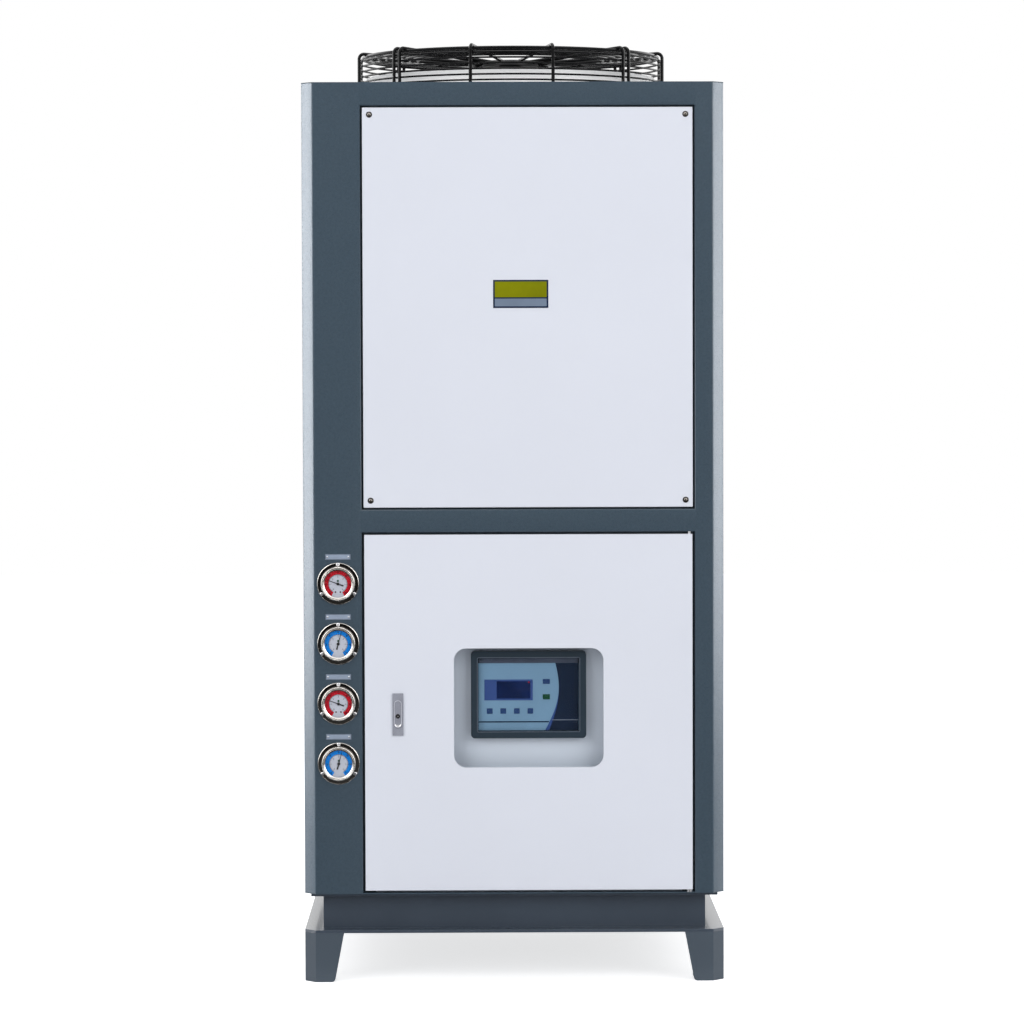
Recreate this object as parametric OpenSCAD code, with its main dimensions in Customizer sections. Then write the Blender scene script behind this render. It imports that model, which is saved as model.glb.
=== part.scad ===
// Air cooled water chiller: a tall sheet steel cabinet on a channel base with four
// feet, condenser coils in both sides, a guarded axial fan on top, a lower front door
// over the controls and a column of pressure gauges. Millimetres, +Z up, front to -Y.

/* [Cabinet] */
// Width over the sides of the cabinet
cabinet_w = 855; // [820:5:1000]
// Depth over the front and rear faces of the cabinet
cabinet_d = 855; // [820:5:1100]
// Height of the cabinet from its floor pan to its top cover
cabinet_h = 1647; // [1560:1:1900]
// Chamfer on the four upright corners
corner_chamfer = 22.5; // [12:0.5:30]
// Thickness of the folded posts, rails and panels
sheet_t = 2; // [1.5:0.5:3]
// Thickness of the floor pan
pan_t = 2; // [2:0.5:6]

/* [Base] */
// Height of the feet
foot_h = 100; // [80:1:160]
// Width of a foot where it meets the base channel
foot_top_w = 80; // [70:1:110]
// Width of a foot at the ground
foot_bottom_w = 61; // [50:1:68]
// Radius of the inner toe of a foot
toe_r = 8; // [2:1:12]
// Plate thickness of the feet
foot_t = 5; // [4:0.5:8]
// Anchor hole in the sole of each foot
anchor_hole_d = 14; // [8:1:18]
// Height of the base channel
channel_h = 80; // [60:1:120]
// Flange width of the base channel
channel_flange = 43; // [35:1:55]
// Thickness of the channel's web and flanges
channel_t = 6; // [4:0.5:8]
// How far the upper flange stands behind the lower one
flange_set_back = 13; // [0:1:20]

/* [Frame] */
// Width of the front stile that carries the gauges
gauge_stile_w = 97; // [90:1:130]
// Width of every other stile
stile_w = 37; // [30:1:60]
// Height of the top rails
top_rail_h = 47; // [40:1:80]
// Height of the middle rails
middle_rail_h = 46; // [36:1:70]
// Height of the lower storey, from the floor pan's underside to the middle rail
lower_storey_h = 737; // [720:1:800]
// Depth of the rebate that the panels sit in
rebate_d = 20; // [18:1:30]
// Width of the lip at the back of the rebate
lip_w = 25; // [20:1:35]
// Depth of the flange round the middle deck
deck_flange = 60; // [50:1:90]

/* [Panels] */
// Gap round a fixed panel
panel_gap = 4; // [2:0.5:6]
// How far the panels lie behind the face of the frame
panel_set_back = 1; // [0:0.5:3]

/* [Door] */
// Gap round the door
door_gap = 5; // [5:0.5:8]
// Depth of the folded door
door_d = 12; // [11:0.5:14]
// Hinge pin's distance from the door's edge
pivot_inset = 6; // [5.5:0.5:7]
// Hinge pin's distance behind the face of the frame
pivot_depth = 6; // [5:0.5:7]
// Hinge pin diameter
pin_d = 6; // [4:0.5:6]
// Width of the window cut through the door
cutout_w = 304; // [280:1:340]
// Height of the window cut through the door
cutout_h = 243; // [230:1:300]
// Corner radius of the window
cutout_r = 25; // [10:1:40]
// Height of the window's centre above the floor pan's underside
cutout_z = 379; // [340:1:420]
// Width of the lock plate
lock_w = 22; // [20:1:30]
// Height of the lock plate
lock_h = 86; // [80:1:120]
// Lock's distance from the door's free edge
lock_inset = 67; // [40:1:90]
// How far the lock lies below the door's middle height
lock_drop = 3; // [0:0.5:10]
// Width of the lock's pull
pull_w = 16; // [12:0.5:17]
// Height of the lock's pull
pull_h = 56; // [40:1:60]
// Width of the raised rim round the pull
pull_rim = 2; // [1.5:0.5:3]

/* [Controls] */
// Depth of the control fascia behind the face of the frame
fascia_depth = 45; // [42:1:90]
// Width of the controller housing
controller_w = 235; // [220:1:260]
// Height of the controller housing
controller_h = 178; // [160:1:190]
// How far the controller stands off the fascia
controller_d = 18; // [16:0.5:20]
// Width of the frame round the controller's window
controller_border = 15; // [12:0.5:20]
// Distance from the top of the door's window down to the controller
controller_drop = 8; // [4:1:20]
// Dark band above the keypad
keypad_band = 10; // [4:1:16]

/* [Gauges] */
// Number of gauges in the column
gauge_count = 4; // [2:1:4]
// Distance between gauge centres
gauge_pitch = 122; // [110:1:135]
// Height of the top gauge above the floor pan's underside
gauge_top_z = 633; // [600:1:660]
// Diameter of a gauge's mounting flange
gauge_flange_d = 85; // [78:1:88]
// Diameter of a gauge's bezel
gauge_bezel_d = 72; // [66:1:75]
// Diameter of a gauge's case behind the post
gauge_case_d = 65; // [58:1:65]
// Diameter of the dial
gauge_dial_d = 59.6; // [50:0.2:60]
// How far the bezel stands out of the post
gauge_proud = 13; // [11:0.5:18]
// Depth of the case behind the post
gauge_case_depth = 32; // [20:1:40]

/* [Fan] */
// Room between the mouth of the fan collar and the coils
collar_clear = 18.5; // [10:0.5:30]
// Width of the collar's flared mouth
collar_flare = 18; // [10:1:24]
// Height of the collar above the top cover
collar_proud = 35; // [20:1:38]
// Wall thickness of the collar
collar_t = 3; // [2:0.5:4]
// Depth of the collar below the top cover
collar_depth = 74; // [70:1:90]
// How far the fan guard stands outside the collar's bore
guard_reach = 29.5; // [18:0.5:30]
// Height of the guard above the top cover
guard_h = 88; // [78:1:100]
// How far the guard's centre lies below its rim
guard_dip = 17; // [10:1:22]
// Thickness of the guard's radial bars
arm_t = 7; // [5:0.5:8]
// Thickness of the guard's rings
ring_t = 4; // [3:0.5:5]
// Thickness of the rim ring at the guard's shoulder
rim_t = 7; // [5:0.5:8]
// Angle from the guard's front and rear centre lines to the first bars
arm_first = 15; // [13:0.5:16]
// Angle from one bar to the next, the middle one of three being a pair
arm_step = 31.5; // [29:0.5:32]
// Distance between the two bars of a pair
arm_spread = 17; // [14:1:20]
// Number of hoops in the guard's side wall
hoop_count = 6; // [3:1:6]
// Height of the lowest hoop above the top cover
hoop_start = 10.6; // [8:0.2:14]
// Distance from the highest hoop up to the shoulder's bend
hoop_drop = 2.4; // [1:0.2:6]
// Number of close rings across the guard's top
ring_count = 7; // [5:1:8]
// Diameter of the first of the close rings
ring_zone_d = 400; // [340:5:440]
// Diameter of the single ring round the centre plate
inner_ring_d = 180; // [170:2:186]
// Diameter of the guard's centre plate
hub_plate_d = 120; // [120:2:160]
// Diameter of the motor
motor_d = 120; // [110:2:150]
// Diameter of the neck that hangs the motor from the centre plate
motor_neck_d = 48; // [40:2:80]
// Height of that neck
motor_neck_h = 18; // [10:1:24]
// Gap between the blades' tips and the collar
tip_gap = 8; // [6:0.5:20]
// Diameter of the impeller's hub
impeller_hub_d = 156; // [140:2:170]
// Height of the impeller's hub
impeller_hub_h = 80; // [78:1:84]
// Number of blades
blade_count = 5; // [3:1:6]
// Thickness of a blade
blade_t = 3; // [2:0.5:4]
// Pitch of a blade, in degrees
blade_pitch = 18; // [14:1:20]
// Diameter of the motor shaft
shaft_d = 20; // [16:1:24]

/* [Condenser] */
// Thickness of a condenser coil
coil_t = 66; // [44:1:80]
// Spacing of the fins
fin_pitch = 8; // [6:0.5:12]
// Depth of the gaps between the fins
fin_depth = 14; // [8:1:20]

/* [Services] */
// Bore of the water sockets
socket_bore_d = 39; // [30:0.5:44]
// Outer diameter of the water sockets
socket_d = 50; // [48:1:60]
// Length of the water sockets
socket_l = 30; // [30:1:50]
// Depth of the water sockets' bore
socket_bore_l = 25; // [20:1:26]
// Flange diameter of the water sockets
socket_flange_d = 70; // [64:1:80]
// Height of the upper water socket above the floor pan's underside
socket_z = 420; // [380:1:460]
// Distance between the water sockets
socket_pitch = 180; // [100:1:240]
// Sideways offset of the services from the middle of the rear
service_x = 210; // [150:1:260]
// Bore of the cable gland
gland_bore_d = 22; // [12:1:26]
// Outer diameter of the cable gland
gland_d = 40; // [36:1:46]
// Length of the cable gland
gland_l = 26; // [20:1:28]

/* [Hidden] */
$fn = 64;
eps = 0.01;
running_gap = 0.05;
seat_gap = 0.3;

// Heights of the storeys
pan_z = foot_h + channel_h;
post_z = pan_z + pan_t;
top_z = pan_z + cabinet_h;
cover_z = top_z - sheet_t;
rail_z = pan_z + lower_storey_h;
upper_z = rail_z + middle_rail_h;
eave_z = top_z - top_rail_h;

// The origin lies under the middle of everything that stands out front and rear
front_y = -(cabinet_d + socket_l - panel_set_back - gauge_proud) / 2;

// Edges of the openings between the posts, measured from the middle or the front
half_w = cabinet_w / 2;
front_left_x = -half_w + corner_chamfer + gauge_stile_w;
front_right_x = half_w - corner_chamfer - stile_w;
rear_open_w = cabinet_w - 2 * (corner_chamfer + stile_w);
side_open_w = cabinet_d - 2 * (corner_chamfer + stile_w);
front_open_w = front_right_x - front_left_x;
front_mid_x = (front_left_x + front_right_x) / 2;
lip_back = rebate_d + sheet_t;

// Door
door_w = front_open_w - 2 * door_gap;
door_h = rail_z - post_z - 2 * door_gap;
door_z = post_z + door_gap;
pivot_x = front_right_x - door_gap - pivot_inset;
pin_reach = 12;
shoulder_d = pin_d + 6;
cutout_flange = 8;
lock_t = 3;
pull_sunk = 1.5;
pull_t = 3.5;
key_d = 5;
key_depth = 2;
pull_sink = 1;
lock_x = front_left_x + door_gap + lock_inset;
lock_z = door_z + door_h / 2 - lock_drop;

// Controller
controller_top_z = pan_z + cutout_z + cutout_h / 2 - controller_drop;
controller_mid_z = controller_top_z - controller_h / 2;
controller_face_y = fascia_depth - controller_d;
pocket_w = controller_w - 2 * controller_border;
pocket_h = controller_h - 2 * controller_border;
pocket_floor = 4;
controller_r = 8;
window_step = 3;
window_t = 2.5;
keypad_t = 2;

// Gauges
gauge_x = -half_w + corner_chamfer + gauge_stile_w / 2;
gauge_flange_t = 2;
gauge_hole_clear = 1;
dial_floor = 4;
dial_t = 1;
lens_ledge = 9;
lens_d = gauge_dial_d + 2;
lens_t = 2;
bezel_chamfer = 2;
stem_d = 14;
stem_l = 8;
needle_t = 1.2;
needle_boss_d = 6;
// Needle angles anticlockwise from 3 o'clock, as seen from the front
needle_angles = [160, 75, 160, 75];

// Fan
fan_y = cabinet_d / 2;
collar_r = half_w - lip_back - coil_t - collar_clear - collar_flare;
impeller_r = collar_r - tip_gap;
flange_reach = 39;
arm_out = collar_r + guard_reach;
arm_in = arm_out - arm_t;
arm_top_z = top_z + guard_h;
arm_under_z = arm_top_z - arm_t;
arm_bend = 14;
arm_start = hub_plate_d / 3;
arm_turns = [arm_first, arm_first + arm_step, arm_first + 2 * arm_step];
shoulder_r = arm_out - arm_bend;
hoop_pitch = (guard_h - arm_bend - hoop_drop - ring_t - hoop_start) / (hoop_count - 1);
motor_gap = 5;
motor_h = 52;
plate_edge = 2;
plate_z = arm_under_z - guard_dip - plate_edge;
motor_base_z = plate_z - motor_h;
hub_top_z = motor_base_z - motor_gap;
hub_base_z = hub_top_z - impeller_hub_h;
hub_floor = 5;
blade_z = hub_base_z + 40;
blade_curve_r = 400;
blade_steps = 8;
blade_width_deg = 44;
blade_sweep_deg = 16;

// Condenser
coil_z = rail_z + middle_rail_h - 3;
coil_h = eave_z - coil_z - 3;
coil_w = side_open_w - 10;

function unit(v) = v / norm(v);
function right_of(v) = [v[1], -v[0]];
function mitre(a, b) = (a + b) / (1 + a * b);

// A polyline moved to its right by t, with mitred corners
function shifted(path, t) = [
    for (i = [0 : len(path) - 1])
        let (
            before = right_of(unit(path[max(i, 1)] - path[max(i, 1) - 1])),
            after = right_of(unit(path[min(i, len(path) - 2) + 1] - path[min(i, len(path) - 2)]))
        )
        path[i] + t * mitre(before, after)
];

function reversed(list) = [for (i = [len(list) - 1 : -1 : 0]) list[i]];
function arc(centre, r, from, to, steps) = [
    for (i = [0 : steps])
        let (a = from + (to - from) * i / steps)
        centre + r * [cos(a), sin(a)]
];

// Everything below is drawn with the front face at y = 0, then set about the origin
module in_place() { translate([0, front_y, 0]) children(); }
module paint() { color("#3d4a56") children(); }
module white() { color("#dde1ea") children(); }
module black() { color("#1c1e21") children(); }
module steel() { color("silver") children(); }

// Outline of a strip folded from sheet, along the given outer line
module folded_strip(path, t) { polygon(concat(path, reversed(shifted(path, t)))); }

module rounded_rect(w, h, r) {
    square([w - 2 * r, h], center = true);
    square([w, h - 2 * r], center = true);
    for (x = [-1, 1], y = [-1, 1])
        translate([x * (w / 2 - r), y * (h / 2 - r)]) circle(r);
}

// Turns a flat outline drawn with y up into a plate that starts at y = from and runs back by t
module upright(from, t) {
    translate([0, from + t, 0]) rotate([90, 0, 0]) linear_extrude(t) children();
}

// Plan of the cabinet with its chamfered corners
module cabinet_plan() {
    c = corner_chamfer;
    polygon([
        [-half_w + c, 0], [half_w - c, 0], [half_w, c], [half_w, cabinet_d - c],
        [half_w - c, cabinet_d], [-half_w + c, cabinet_d], [-half_w, cabinet_d - c], [-half_w, c]
    ]);
}

// Repeats a front piece at the rear
module at_rear() { translate([0, cabinet_d, 0]) mirror([0, 1, 0]) children(); }

// Turns a front piece, drawn about x = 0, onto the left or the right side
module on_side(side) {
    translate([side * half_w, cabinet_d / 2, 0]) rotate([0, 0, side * 90]) children();
}

// Base

// Channel with its open side outwards, mitred at both ends to a run of the given length
module base_channel(run) {
    f = channel_flange;
    m = corner_chamfer / 2;
    intersection() {
        translate([-run / 2, 0, foot_h]) rotate([90, 0, 90]) linear_extrude(run)
            difference() {
                square([f, channel_h]);
                translate([-eps, channel_t])
                    square([f - channel_t + eps, channel_h - 2 * channel_t]);
                translate([-eps, channel_h - channel_t - eps])
                    square([flange_set_back + eps, channel_t + 2 * eps]);
            }
        translate([0, 0, foot_h]) linear_extrude(channel_h) polygon([
            [-run / 2 + 2 * m, 0], [run / 2 - 2 * m, 0], [run / 2 - m, m],
            [run / 2 - f, f], [-run / 2 + f, f], [-run / 2 + m, m]
        ]);
    }
}

module front_base_channel() { paint() base_channel(cabinet_w); }
module rear_base_channel() { paint() at_rear() base_channel(cabinet_w); }
module side_base_channels() {
    paint() for (side = [-1, 1]) on_side(side) base_channel(cabinet_d);
}

// Foot at the front left corner: a folded plate with two tapered legs, a sole and a top plate
module corner_foot() {
    c = corner_chamfer;
    w = foot_top_w;
    rise = unit([w - foot_bottom_w, foot_h]);
    half_toe = acos(-rise[0]) / 2;
    toe_centre = [foot_bottom_w, 0] + unit(rise + [-1, 0]) * toe_r / sin(half_toe);
    module leg_taper() {
        polygon(concat(
            [[-eps, 0]], arc(toe_centre, toe_r, -90, 90 - 2 * half_toe, 6),
            [[w, foot_h], [-eps, foot_h]]
        ));
    }
    intersection() {
        translate([-half_w, 0, 0]) difference() {
            linear_extrude(foot_h) polygon([[w, 0], [c, 0], [0, c], [0, w], [w, w]]);
            translate([0, 0, foot_t]) linear_extrude(foot_h - 2 * foot_t)
                polygon(concat(
                    shifted([[w, 0], [c, 0], [0, c], [0, w]], foot_t),
                    [[foot_t, w + eps], [w + eps, w + eps], [w + eps, foot_t]]
                ));
            translate([foot_bottom_w / 2 + c / 4, foot_bottom_w / 2 + c / 4, -eps])
                cylinder(d = anchor_hole_d, h = foot_t + 2 * eps);
        }
        translate([-half_w, 0, 0]) upright(-eps, w + 2 * eps) leg_taper();
        translate([-half_w - eps, 0, 0]) rotate([90, 0, 90]) linear_extrude(w + 2 * eps) leg_taper();
    }
}

module feet_pair() {
    corner_foot();
    mirror([1, 0, 0]) corner_foot();
}
module front_feet() { paint() feet_pair(); }
module rear_feet() { paint() at_rear() feet_pair(); }

// Frame

module base_pan() { paint() translate([0, 0, pan_z]) linear_extrude(pan_t) cabinet_plan(); }

// Folded corner post at the left: lip, jamb, face, chamfer, side, jamb, lip
module post(face_w) {
    c = corner_chamfer;
    edge = c + face_w;
    side = c + stile_w;
    translate([-half_w, 0, post_z]) linear_extrude(cover_z - post_z) folded_strip([
        [edge + lip_w, rebate_d], [edge, rebate_d], [edge, 0], [c, 0],
        [0, c], [0, side], [rebate_d, side], [rebate_d, side + lip_w]
    ], sheet_t);
}

// Calls its children at the centre of each gauge, turned so that +Z points out of the post
module each_gauge() {
    for (i = [0 : gauge_count - 1])
        translate([gauge_x, 0, pan_z + gauge_top_z - i * gauge_pitch]) rotate([90, 0, 0]) {
            $gauge = i;
            children();
        }
}

module front_left_post() {
    paint() difference() {
        post(gauge_stile_w);
        each_gauge() translate([0, 0, -2 * sheet_t])
            cylinder(d = gauge_case_d + gauge_hole_clear, h = 4 * sheet_t);
    }
}
module front_right_post() { paint() mirror([1, 0, 0]) post(stile_w); }
module rear_posts() {
    paint() at_rear() {
        post(stile_w);
        mirror([1, 0, 0]) post(stile_w);
    }
}

// Rail between two posts: face and two flanges as deep as the rebate, with a lip at each opening
module rail(w, bottom, height, lip_above, lip_below) {
    translate([-w / 2, 0, bottom]) {
        rotate([90, 0, 90]) linear_extrude(w) folded_strip(
            [[rebate_d, height], [0, height], [0, 0], [rebate_d, 0]], -sheet_t);
        if (lip_above) translate([lip_w, rebate_d, height - sheet_t])
            cube([w - 2 * lip_w, sheet_t, lip_w + sheet_t]);
        if (lip_below) translate([lip_w, rebate_d, -lip_w])
            cube([w - 2 * lip_w, sheet_t, lip_w + sheet_t]);
    }
}
module top_rail(w) { rail(w, eave_z, cover_z - eave_z, false, true); }
module middle_rail(w) { rail(w, rail_z, middle_rail_h, true, true); }

module front_top_rail() { paint() translate([front_mid_x, 0, 0]) top_rail(front_open_w); }
module front_middle_rail() { paint() translate([front_mid_x, 0, 0]) middle_rail(front_open_w); }
module side_top_rails() { paint() for (side = [-1, 1]) on_side(side) top_rail(side_open_w); }
module side_middle_rails() {
    paint() for (side = [-1, 1]) on_side(side) middle_rail(side_open_w);
}
module rear_rails() {
    paint() at_rear() {
        top_rail(rear_open_w);
        middle_rail(rear_open_w);
    }
}

module top_cover() {
    paint() translate([0, 0, cover_z]) difference() {
        linear_extrude(sheet_t) cabinet_plan();
        translate([0, fan_y, -eps]) cylinder(r = collar_r + collar_t, h = sheet_t + 2 * eps);
    }
}

// Deck between the storeys, with its flange turned down against the backs of the lips
module middle_deck() {
    w = cabinet_w - 2 * lip_back;
    d = cabinet_d - 2 * lip_back;
    paint() translate([-w / 2, lip_back, coil_z - deck_flange]) difference() {
        cube([w, d, deck_flange]);
        translate([sheet_t, sheet_t, -eps])
            cube([w - 2 * sheet_t, d - 2 * sheet_t, deck_flange - sheet_t + eps]);
    }
}

// Panels

// Folded panel, open at the back, that sits in the rebate against the lips
module panel(w, bottom, height, depth) {
    translate([-w / 2, panel_set_back, bottom]) difference() {
        cube([w, depth, height]);
        translate([sheet_t, sheet_t, sheet_t])
            cube([w - 2 * sheet_t, depth, height - 2 * sheet_t]);
    }
}
module fixed_panel(open_w, bottom, top) {
    panel(open_w - 2 * panel_gap, bottom + panel_gap, top - bottom - 2 * panel_gap,
        rebate_d - panel_set_back);
}

module upper_front_panel() {
    white() translate([front_mid_x, 0, 0]) fixed_panel(front_open_w, upper_z, eave_z);
}
module upper_rear_panel() { white() at_rear() fixed_panel(rear_open_w, upper_z, eave_z); }
module lower_rear_panel() { white() at_rear() fixed_panel(rear_open_w, post_z, rail_z); }
module lower_left_panel() { white() on_side(-1) fixed_panel(side_open_w, post_z, rail_z); }
module lower_right_panel() { white() on_side(1) fixed_panel(side_open_w, post_z, rail_z); }

// Door

module front_door() {
    white() difference() {
        union() {
            translate([front_mid_x, 0, 0]) panel(door_w, door_z, door_h, door_d);
            translate([front_mid_x, 0, pan_z + cutout_z])
                upright(panel_set_back, sheet_t + cutout_flange)
                    rounded_rect(cutout_w + 2 * sheet_t, cutout_h + 2 * sheet_t, cutout_r + sheet_t);
        }
        translate([front_mid_x, 0, pan_z + cutout_z])
            upright(-eps, door_d) rounded_rect(cutout_w, cutout_h, cutout_r);
        translate([pivot_x, pivot_depth, door_z - eps])
            cylinder(d = pin_d + 2 * running_gap, h = door_h + 2 * eps);
    }
}

// Pins in the middle rail and the floor pan; the lower one has a shoulder that carries the door
module door_hinge_pins() {
    steel() translate([pivot_x, pivot_depth, 0]) {
        translate([0, 0, post_z]) cylinder(d = pin_d, h = door_gap + pin_reach);
        translate([0, 0, post_z]) cylinder(d = shoulder_d, h = door_gap - seat_gap);
        translate([0, 0, rail_z - door_gap - pin_reach])
            cylinder(d = pin_d, h = door_gap + pin_reach);
    }
}

module pull_outline(clearance) {
    r = pull_w / 2 + clearance;
    reach = (pull_h - pull_w) / 2;
    square([2 * r, 2 * reach], center = true);
    for (end = [-1, 1]) translate([0, end * reach]) circle(r);
}
module door_lock_plate() {
    steel() translate([lock_x, 0, lock_z]) difference() {
        upright(panel_set_back - lock_t, lock_t) square([lock_w, lock_h], center = true);
        upright(panel_set_back - lock_t - eps, pull_sunk + eps) pull_outline(seat_gap);
    }
}
module door_lock_handle() {
    pull_face = panel_set_back - lock_t + pull_sunk - pull_t;
    steel() translate([lock_x, 0, lock_z]) difference() {
        upright(pull_face, pull_t) pull_outline(0);
        upright(pull_face - eps, pull_sink + eps) pull_outline(-pull_rim);
        translate([0, pull_face + pull_sink + key_depth, -pull_h / 12]) rotate([90, 0, 0])
            cylinder(d = key_d, h = key_depth + eps);
    }
}

// Controls

// Recessed tray behind the door, seated on the backs of the lips and on the floor pan
module control_fascia() {
    inset = 6;
    w = front_open_w - 2 * inset;
    h = coil_z - deck_flange - inset - post_z;
    color("#a7acb8") translate([front_mid_x - w / 2, lip_back, post_z]) difference() {
        cube([w, fascia_depth - lip_back + sheet_t, h]);
        translate([sheet_t, -eps, sheet_t])
            cube([w - 2 * sheet_t, fascia_depth - lip_back + eps, h - 2 * sheet_t]);
    }
}

module controller_housing() {
    black() translate([front_mid_x, 0, controller_mid_z]) difference() {
        upright(controller_face_y, controller_d)
            rounded_rect(controller_w, controller_h, controller_r);
        upright(controller_face_y - eps, controller_d - pocket_floor + eps)
            square([pocket_w, pocket_h], center = true);
        upright(controller_face_y - eps, window_step + eps)
            square([pocket_w + 2 * window_step, pocket_h + 2 * window_step], center = true);
    }
}
module controller_keypad() {
    h = pocket_h - keypad_band;
    color("#6f93b4") translate([front_mid_x, 0, controller_mid_z - keypad_band / 2])
        upright(fascia_depth - pocket_floor - keypad_t, keypad_t)
            square([pocket_w - 2 * seat_gap, h - 2 * seat_gap], center = true);
}
module controller_window() {
    reach = 2 * window_step - 2 * seat_gap;
    color("#9fb2c4", 0.35) translate([front_mid_x, 0, controller_mid_z])
        upright(controller_face_y + window_step - window_t, window_t)
            square([pocket_w + reach, pocket_h + reach], center = true);
}

// Gauges

module gauge_case() {
    case_r = gauge_case_d / 2;
    bezel_r = gauge_bezel_d / 2;
    rotate_extrude() polygon([
        [0, -gauge_case_depth - stem_l], [stem_d / 2, -gauge_case_depth - stem_l],
        [stem_d / 2, -gauge_case_depth], [case_r, -gauge_case_depth], [case_r, 0],
        [gauge_flange_d / 2, 0], [gauge_flange_d / 2, gauge_flange_t], [bezel_r, gauge_flange_t],
        [bezel_r, gauge_proud - bezel_chamfer], [bezel_r - bezel_chamfer, gauge_proud],
        [lens_d / 2, gauge_proud], [lens_d / 2, lens_ledge], [gauge_dial_d / 2, lens_ledge],
        [gauge_dial_d / 2, dial_floor], [0, dial_floor]
    ]);
}
module gauge_cases() { steel() each_gauge() gauge_case(); }
module gauge_dials() {
    white() each_gauge() translate([0, 0, dial_floor])
        cylinder(d = gauge_dial_d - 2 * seat_gap, h = dial_t);
}
module gauge_needles() {
    tip = 0.42 * gauge_dial_d;
    tail = 0.2 * gauge_dial_d;
    black() each_gauge() translate([0, 0, dial_floor + dial_t])
        rotate([0, 0, needle_angles[$gauge]]) {
            linear_extrude(needle_t) polygon([[-tail, -1.6], [0, -0.9], [tip, -0.3],
                [tip, 0.3], [0, 0.9], [-tail, 1.6]]);
            cylinder(d = needle_boss_d, h = 2 * needle_t);
        }
}
module gauge_lenses() {
    color("white", 0.3) each_gauge() translate([0, 0, lens_ledge])
        cylinder(d = lens_d - 2 * seat_gap, h = lens_t);
}

// Fan

module at_fan() { translate([0, fan_y, 0]) children(); }

// Collar with a flange on the top cover and a mouth that flares out below
module fan_collar() {
    flare = collar_flare;
    white() at_fan() rotate_extrude() polygon(concat(
        [
            [collar_r, top_z + collar_proud], [collar_r + collar_t, top_z + collar_proud],
            [collar_r + collar_t, top_z + sheet_t],
            [collar_r + flange_reach, top_z + sheet_t], [collar_r + flange_reach, top_z],
            [collar_r + collar_t, top_z]
        ],
        arc([collar_r + flare, top_z - collar_depth + flare], flare - collar_t, 180, 270, 6),
        arc([collar_r + flare, top_z - collar_depth + flare], flare, 270, 180, 6)
    ));
}

// Ring of wire with eight sides and its top face flat, given its outer radius and top
module wire_ring(outer, top, t) {
    c = t * (1 - sqrt(0.5));
    rotate_extrude() translate([outer - t, top - t]) polygon([
        [c, 0], [t - c, 0], [t, c], [t, t - c], [t - c, t], [c, t], [0, t - c], [0, c]
    ]);
}

// Underside of the sloping bars at a given radius
function under_z(r) = arm_under_z - guard_dip * (shoulder_r - r) / (shoulder_r - arm_start);

// Ring hung under the bars, given its outer radius
module hung_ring(outer, t) { wire_ring(outer, under_z(outer - t), t); }

// Close rings in the outer zone of the top, and one round the centre plate
module fan_guard_rings() {
    zone = ring_zone_d / 2;
    black() at_fan() {
        hung_ring(inner_ring_d / 2, ring_t);
        for (i = [0 : ring_count - 1])
            hung_ring(zone + (shoulder_r - zone) * i / ring_count, ring_t);
    }
}

// Hoops inside the uprights, and the thicker ring at the shoulder
module fan_guard_hoops() {
    black() at_fan() {
        for (i = [0 : hoop_count - 1])
            wire_ring(arm_in, top_z + hoop_start + i * hoop_pitch + ring_t, ring_t);
        hung_ring(shoulder_r, rim_t);
    }
}

// Side view of one radial bar: up from the centre plate, round the shoulder, down to the flange
module arm_outline() {
    centre = [shoulder_r, arm_top_z - arm_bend];
    foot = top_z + sheet_t;
    under = under_z(arm_start);
    polygon(concat(
        [[arm_in, foot], [arm_out, foot]], arc(centre, arm_bend, 0, 90, 6),
        [[arm_start, under + arm_t], [arm_start, under]], arc(centre, arm_bend - arm_t, 90, 0, 6)
    ));
}
module fan_guard_arms() {
    black() at_fan() {
        translate([0, 0, plate_z]) cylinder(d = hub_plate_d, h = arm_t + 2 * plate_edge);
        for (half = [-90, 90], hand = [-1, 1], turn = arm_turns, side = turn == arm_turns[1] ? [-1, 1] : [0])
            rotate([0, 0, half + hand * turn]) translate([0, side * arm_spread / 2 + arm_t / 2, 0])
                rotate([90, 0, 0]) linear_extrude(arm_t) arm_outline();
    }
}

module fan_motor() {
    black() at_fan() {
        translate([0, 0, motor_base_z]) cylinder(d = motor_d, h = motor_h - motor_neck_h);
        translate([0, 0, motor_base_z]) cylinder(d = motor_neck_d, h = motor_h);
        translate([0, 0, hub_base_z + 2 * hub_floor])
            cylinder(d = shaft_d, h = motor_base_z - hub_base_z - 2 * hub_floor);
    }
}

// Plan of one swept blade, from inside the hub to the tip
function blade_angle(s) = blade_sweep_deg * s * s;
module blade_plan() {
    root = impeller_hub_d / 2 - 4;
    tip = impeller_r;
    function at(s, offset) =
        (root + (tip - root) * s) * [cos(blade_angle(s) + offset), sin(blade_angle(s) + offset)];
    half = blade_width_deg / 2;
    polygon(concat(
        [for (i = [0 : blade_steps]) at(i / blade_steps, -half)],
        [for (i = [1 : blade_steps - 1]) at(1, half * (2 * i / blade_steps - 1))],
        [for (i = [blade_steps : -1 : 0]) at(i / blade_steps, half)]
    ));
}

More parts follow.
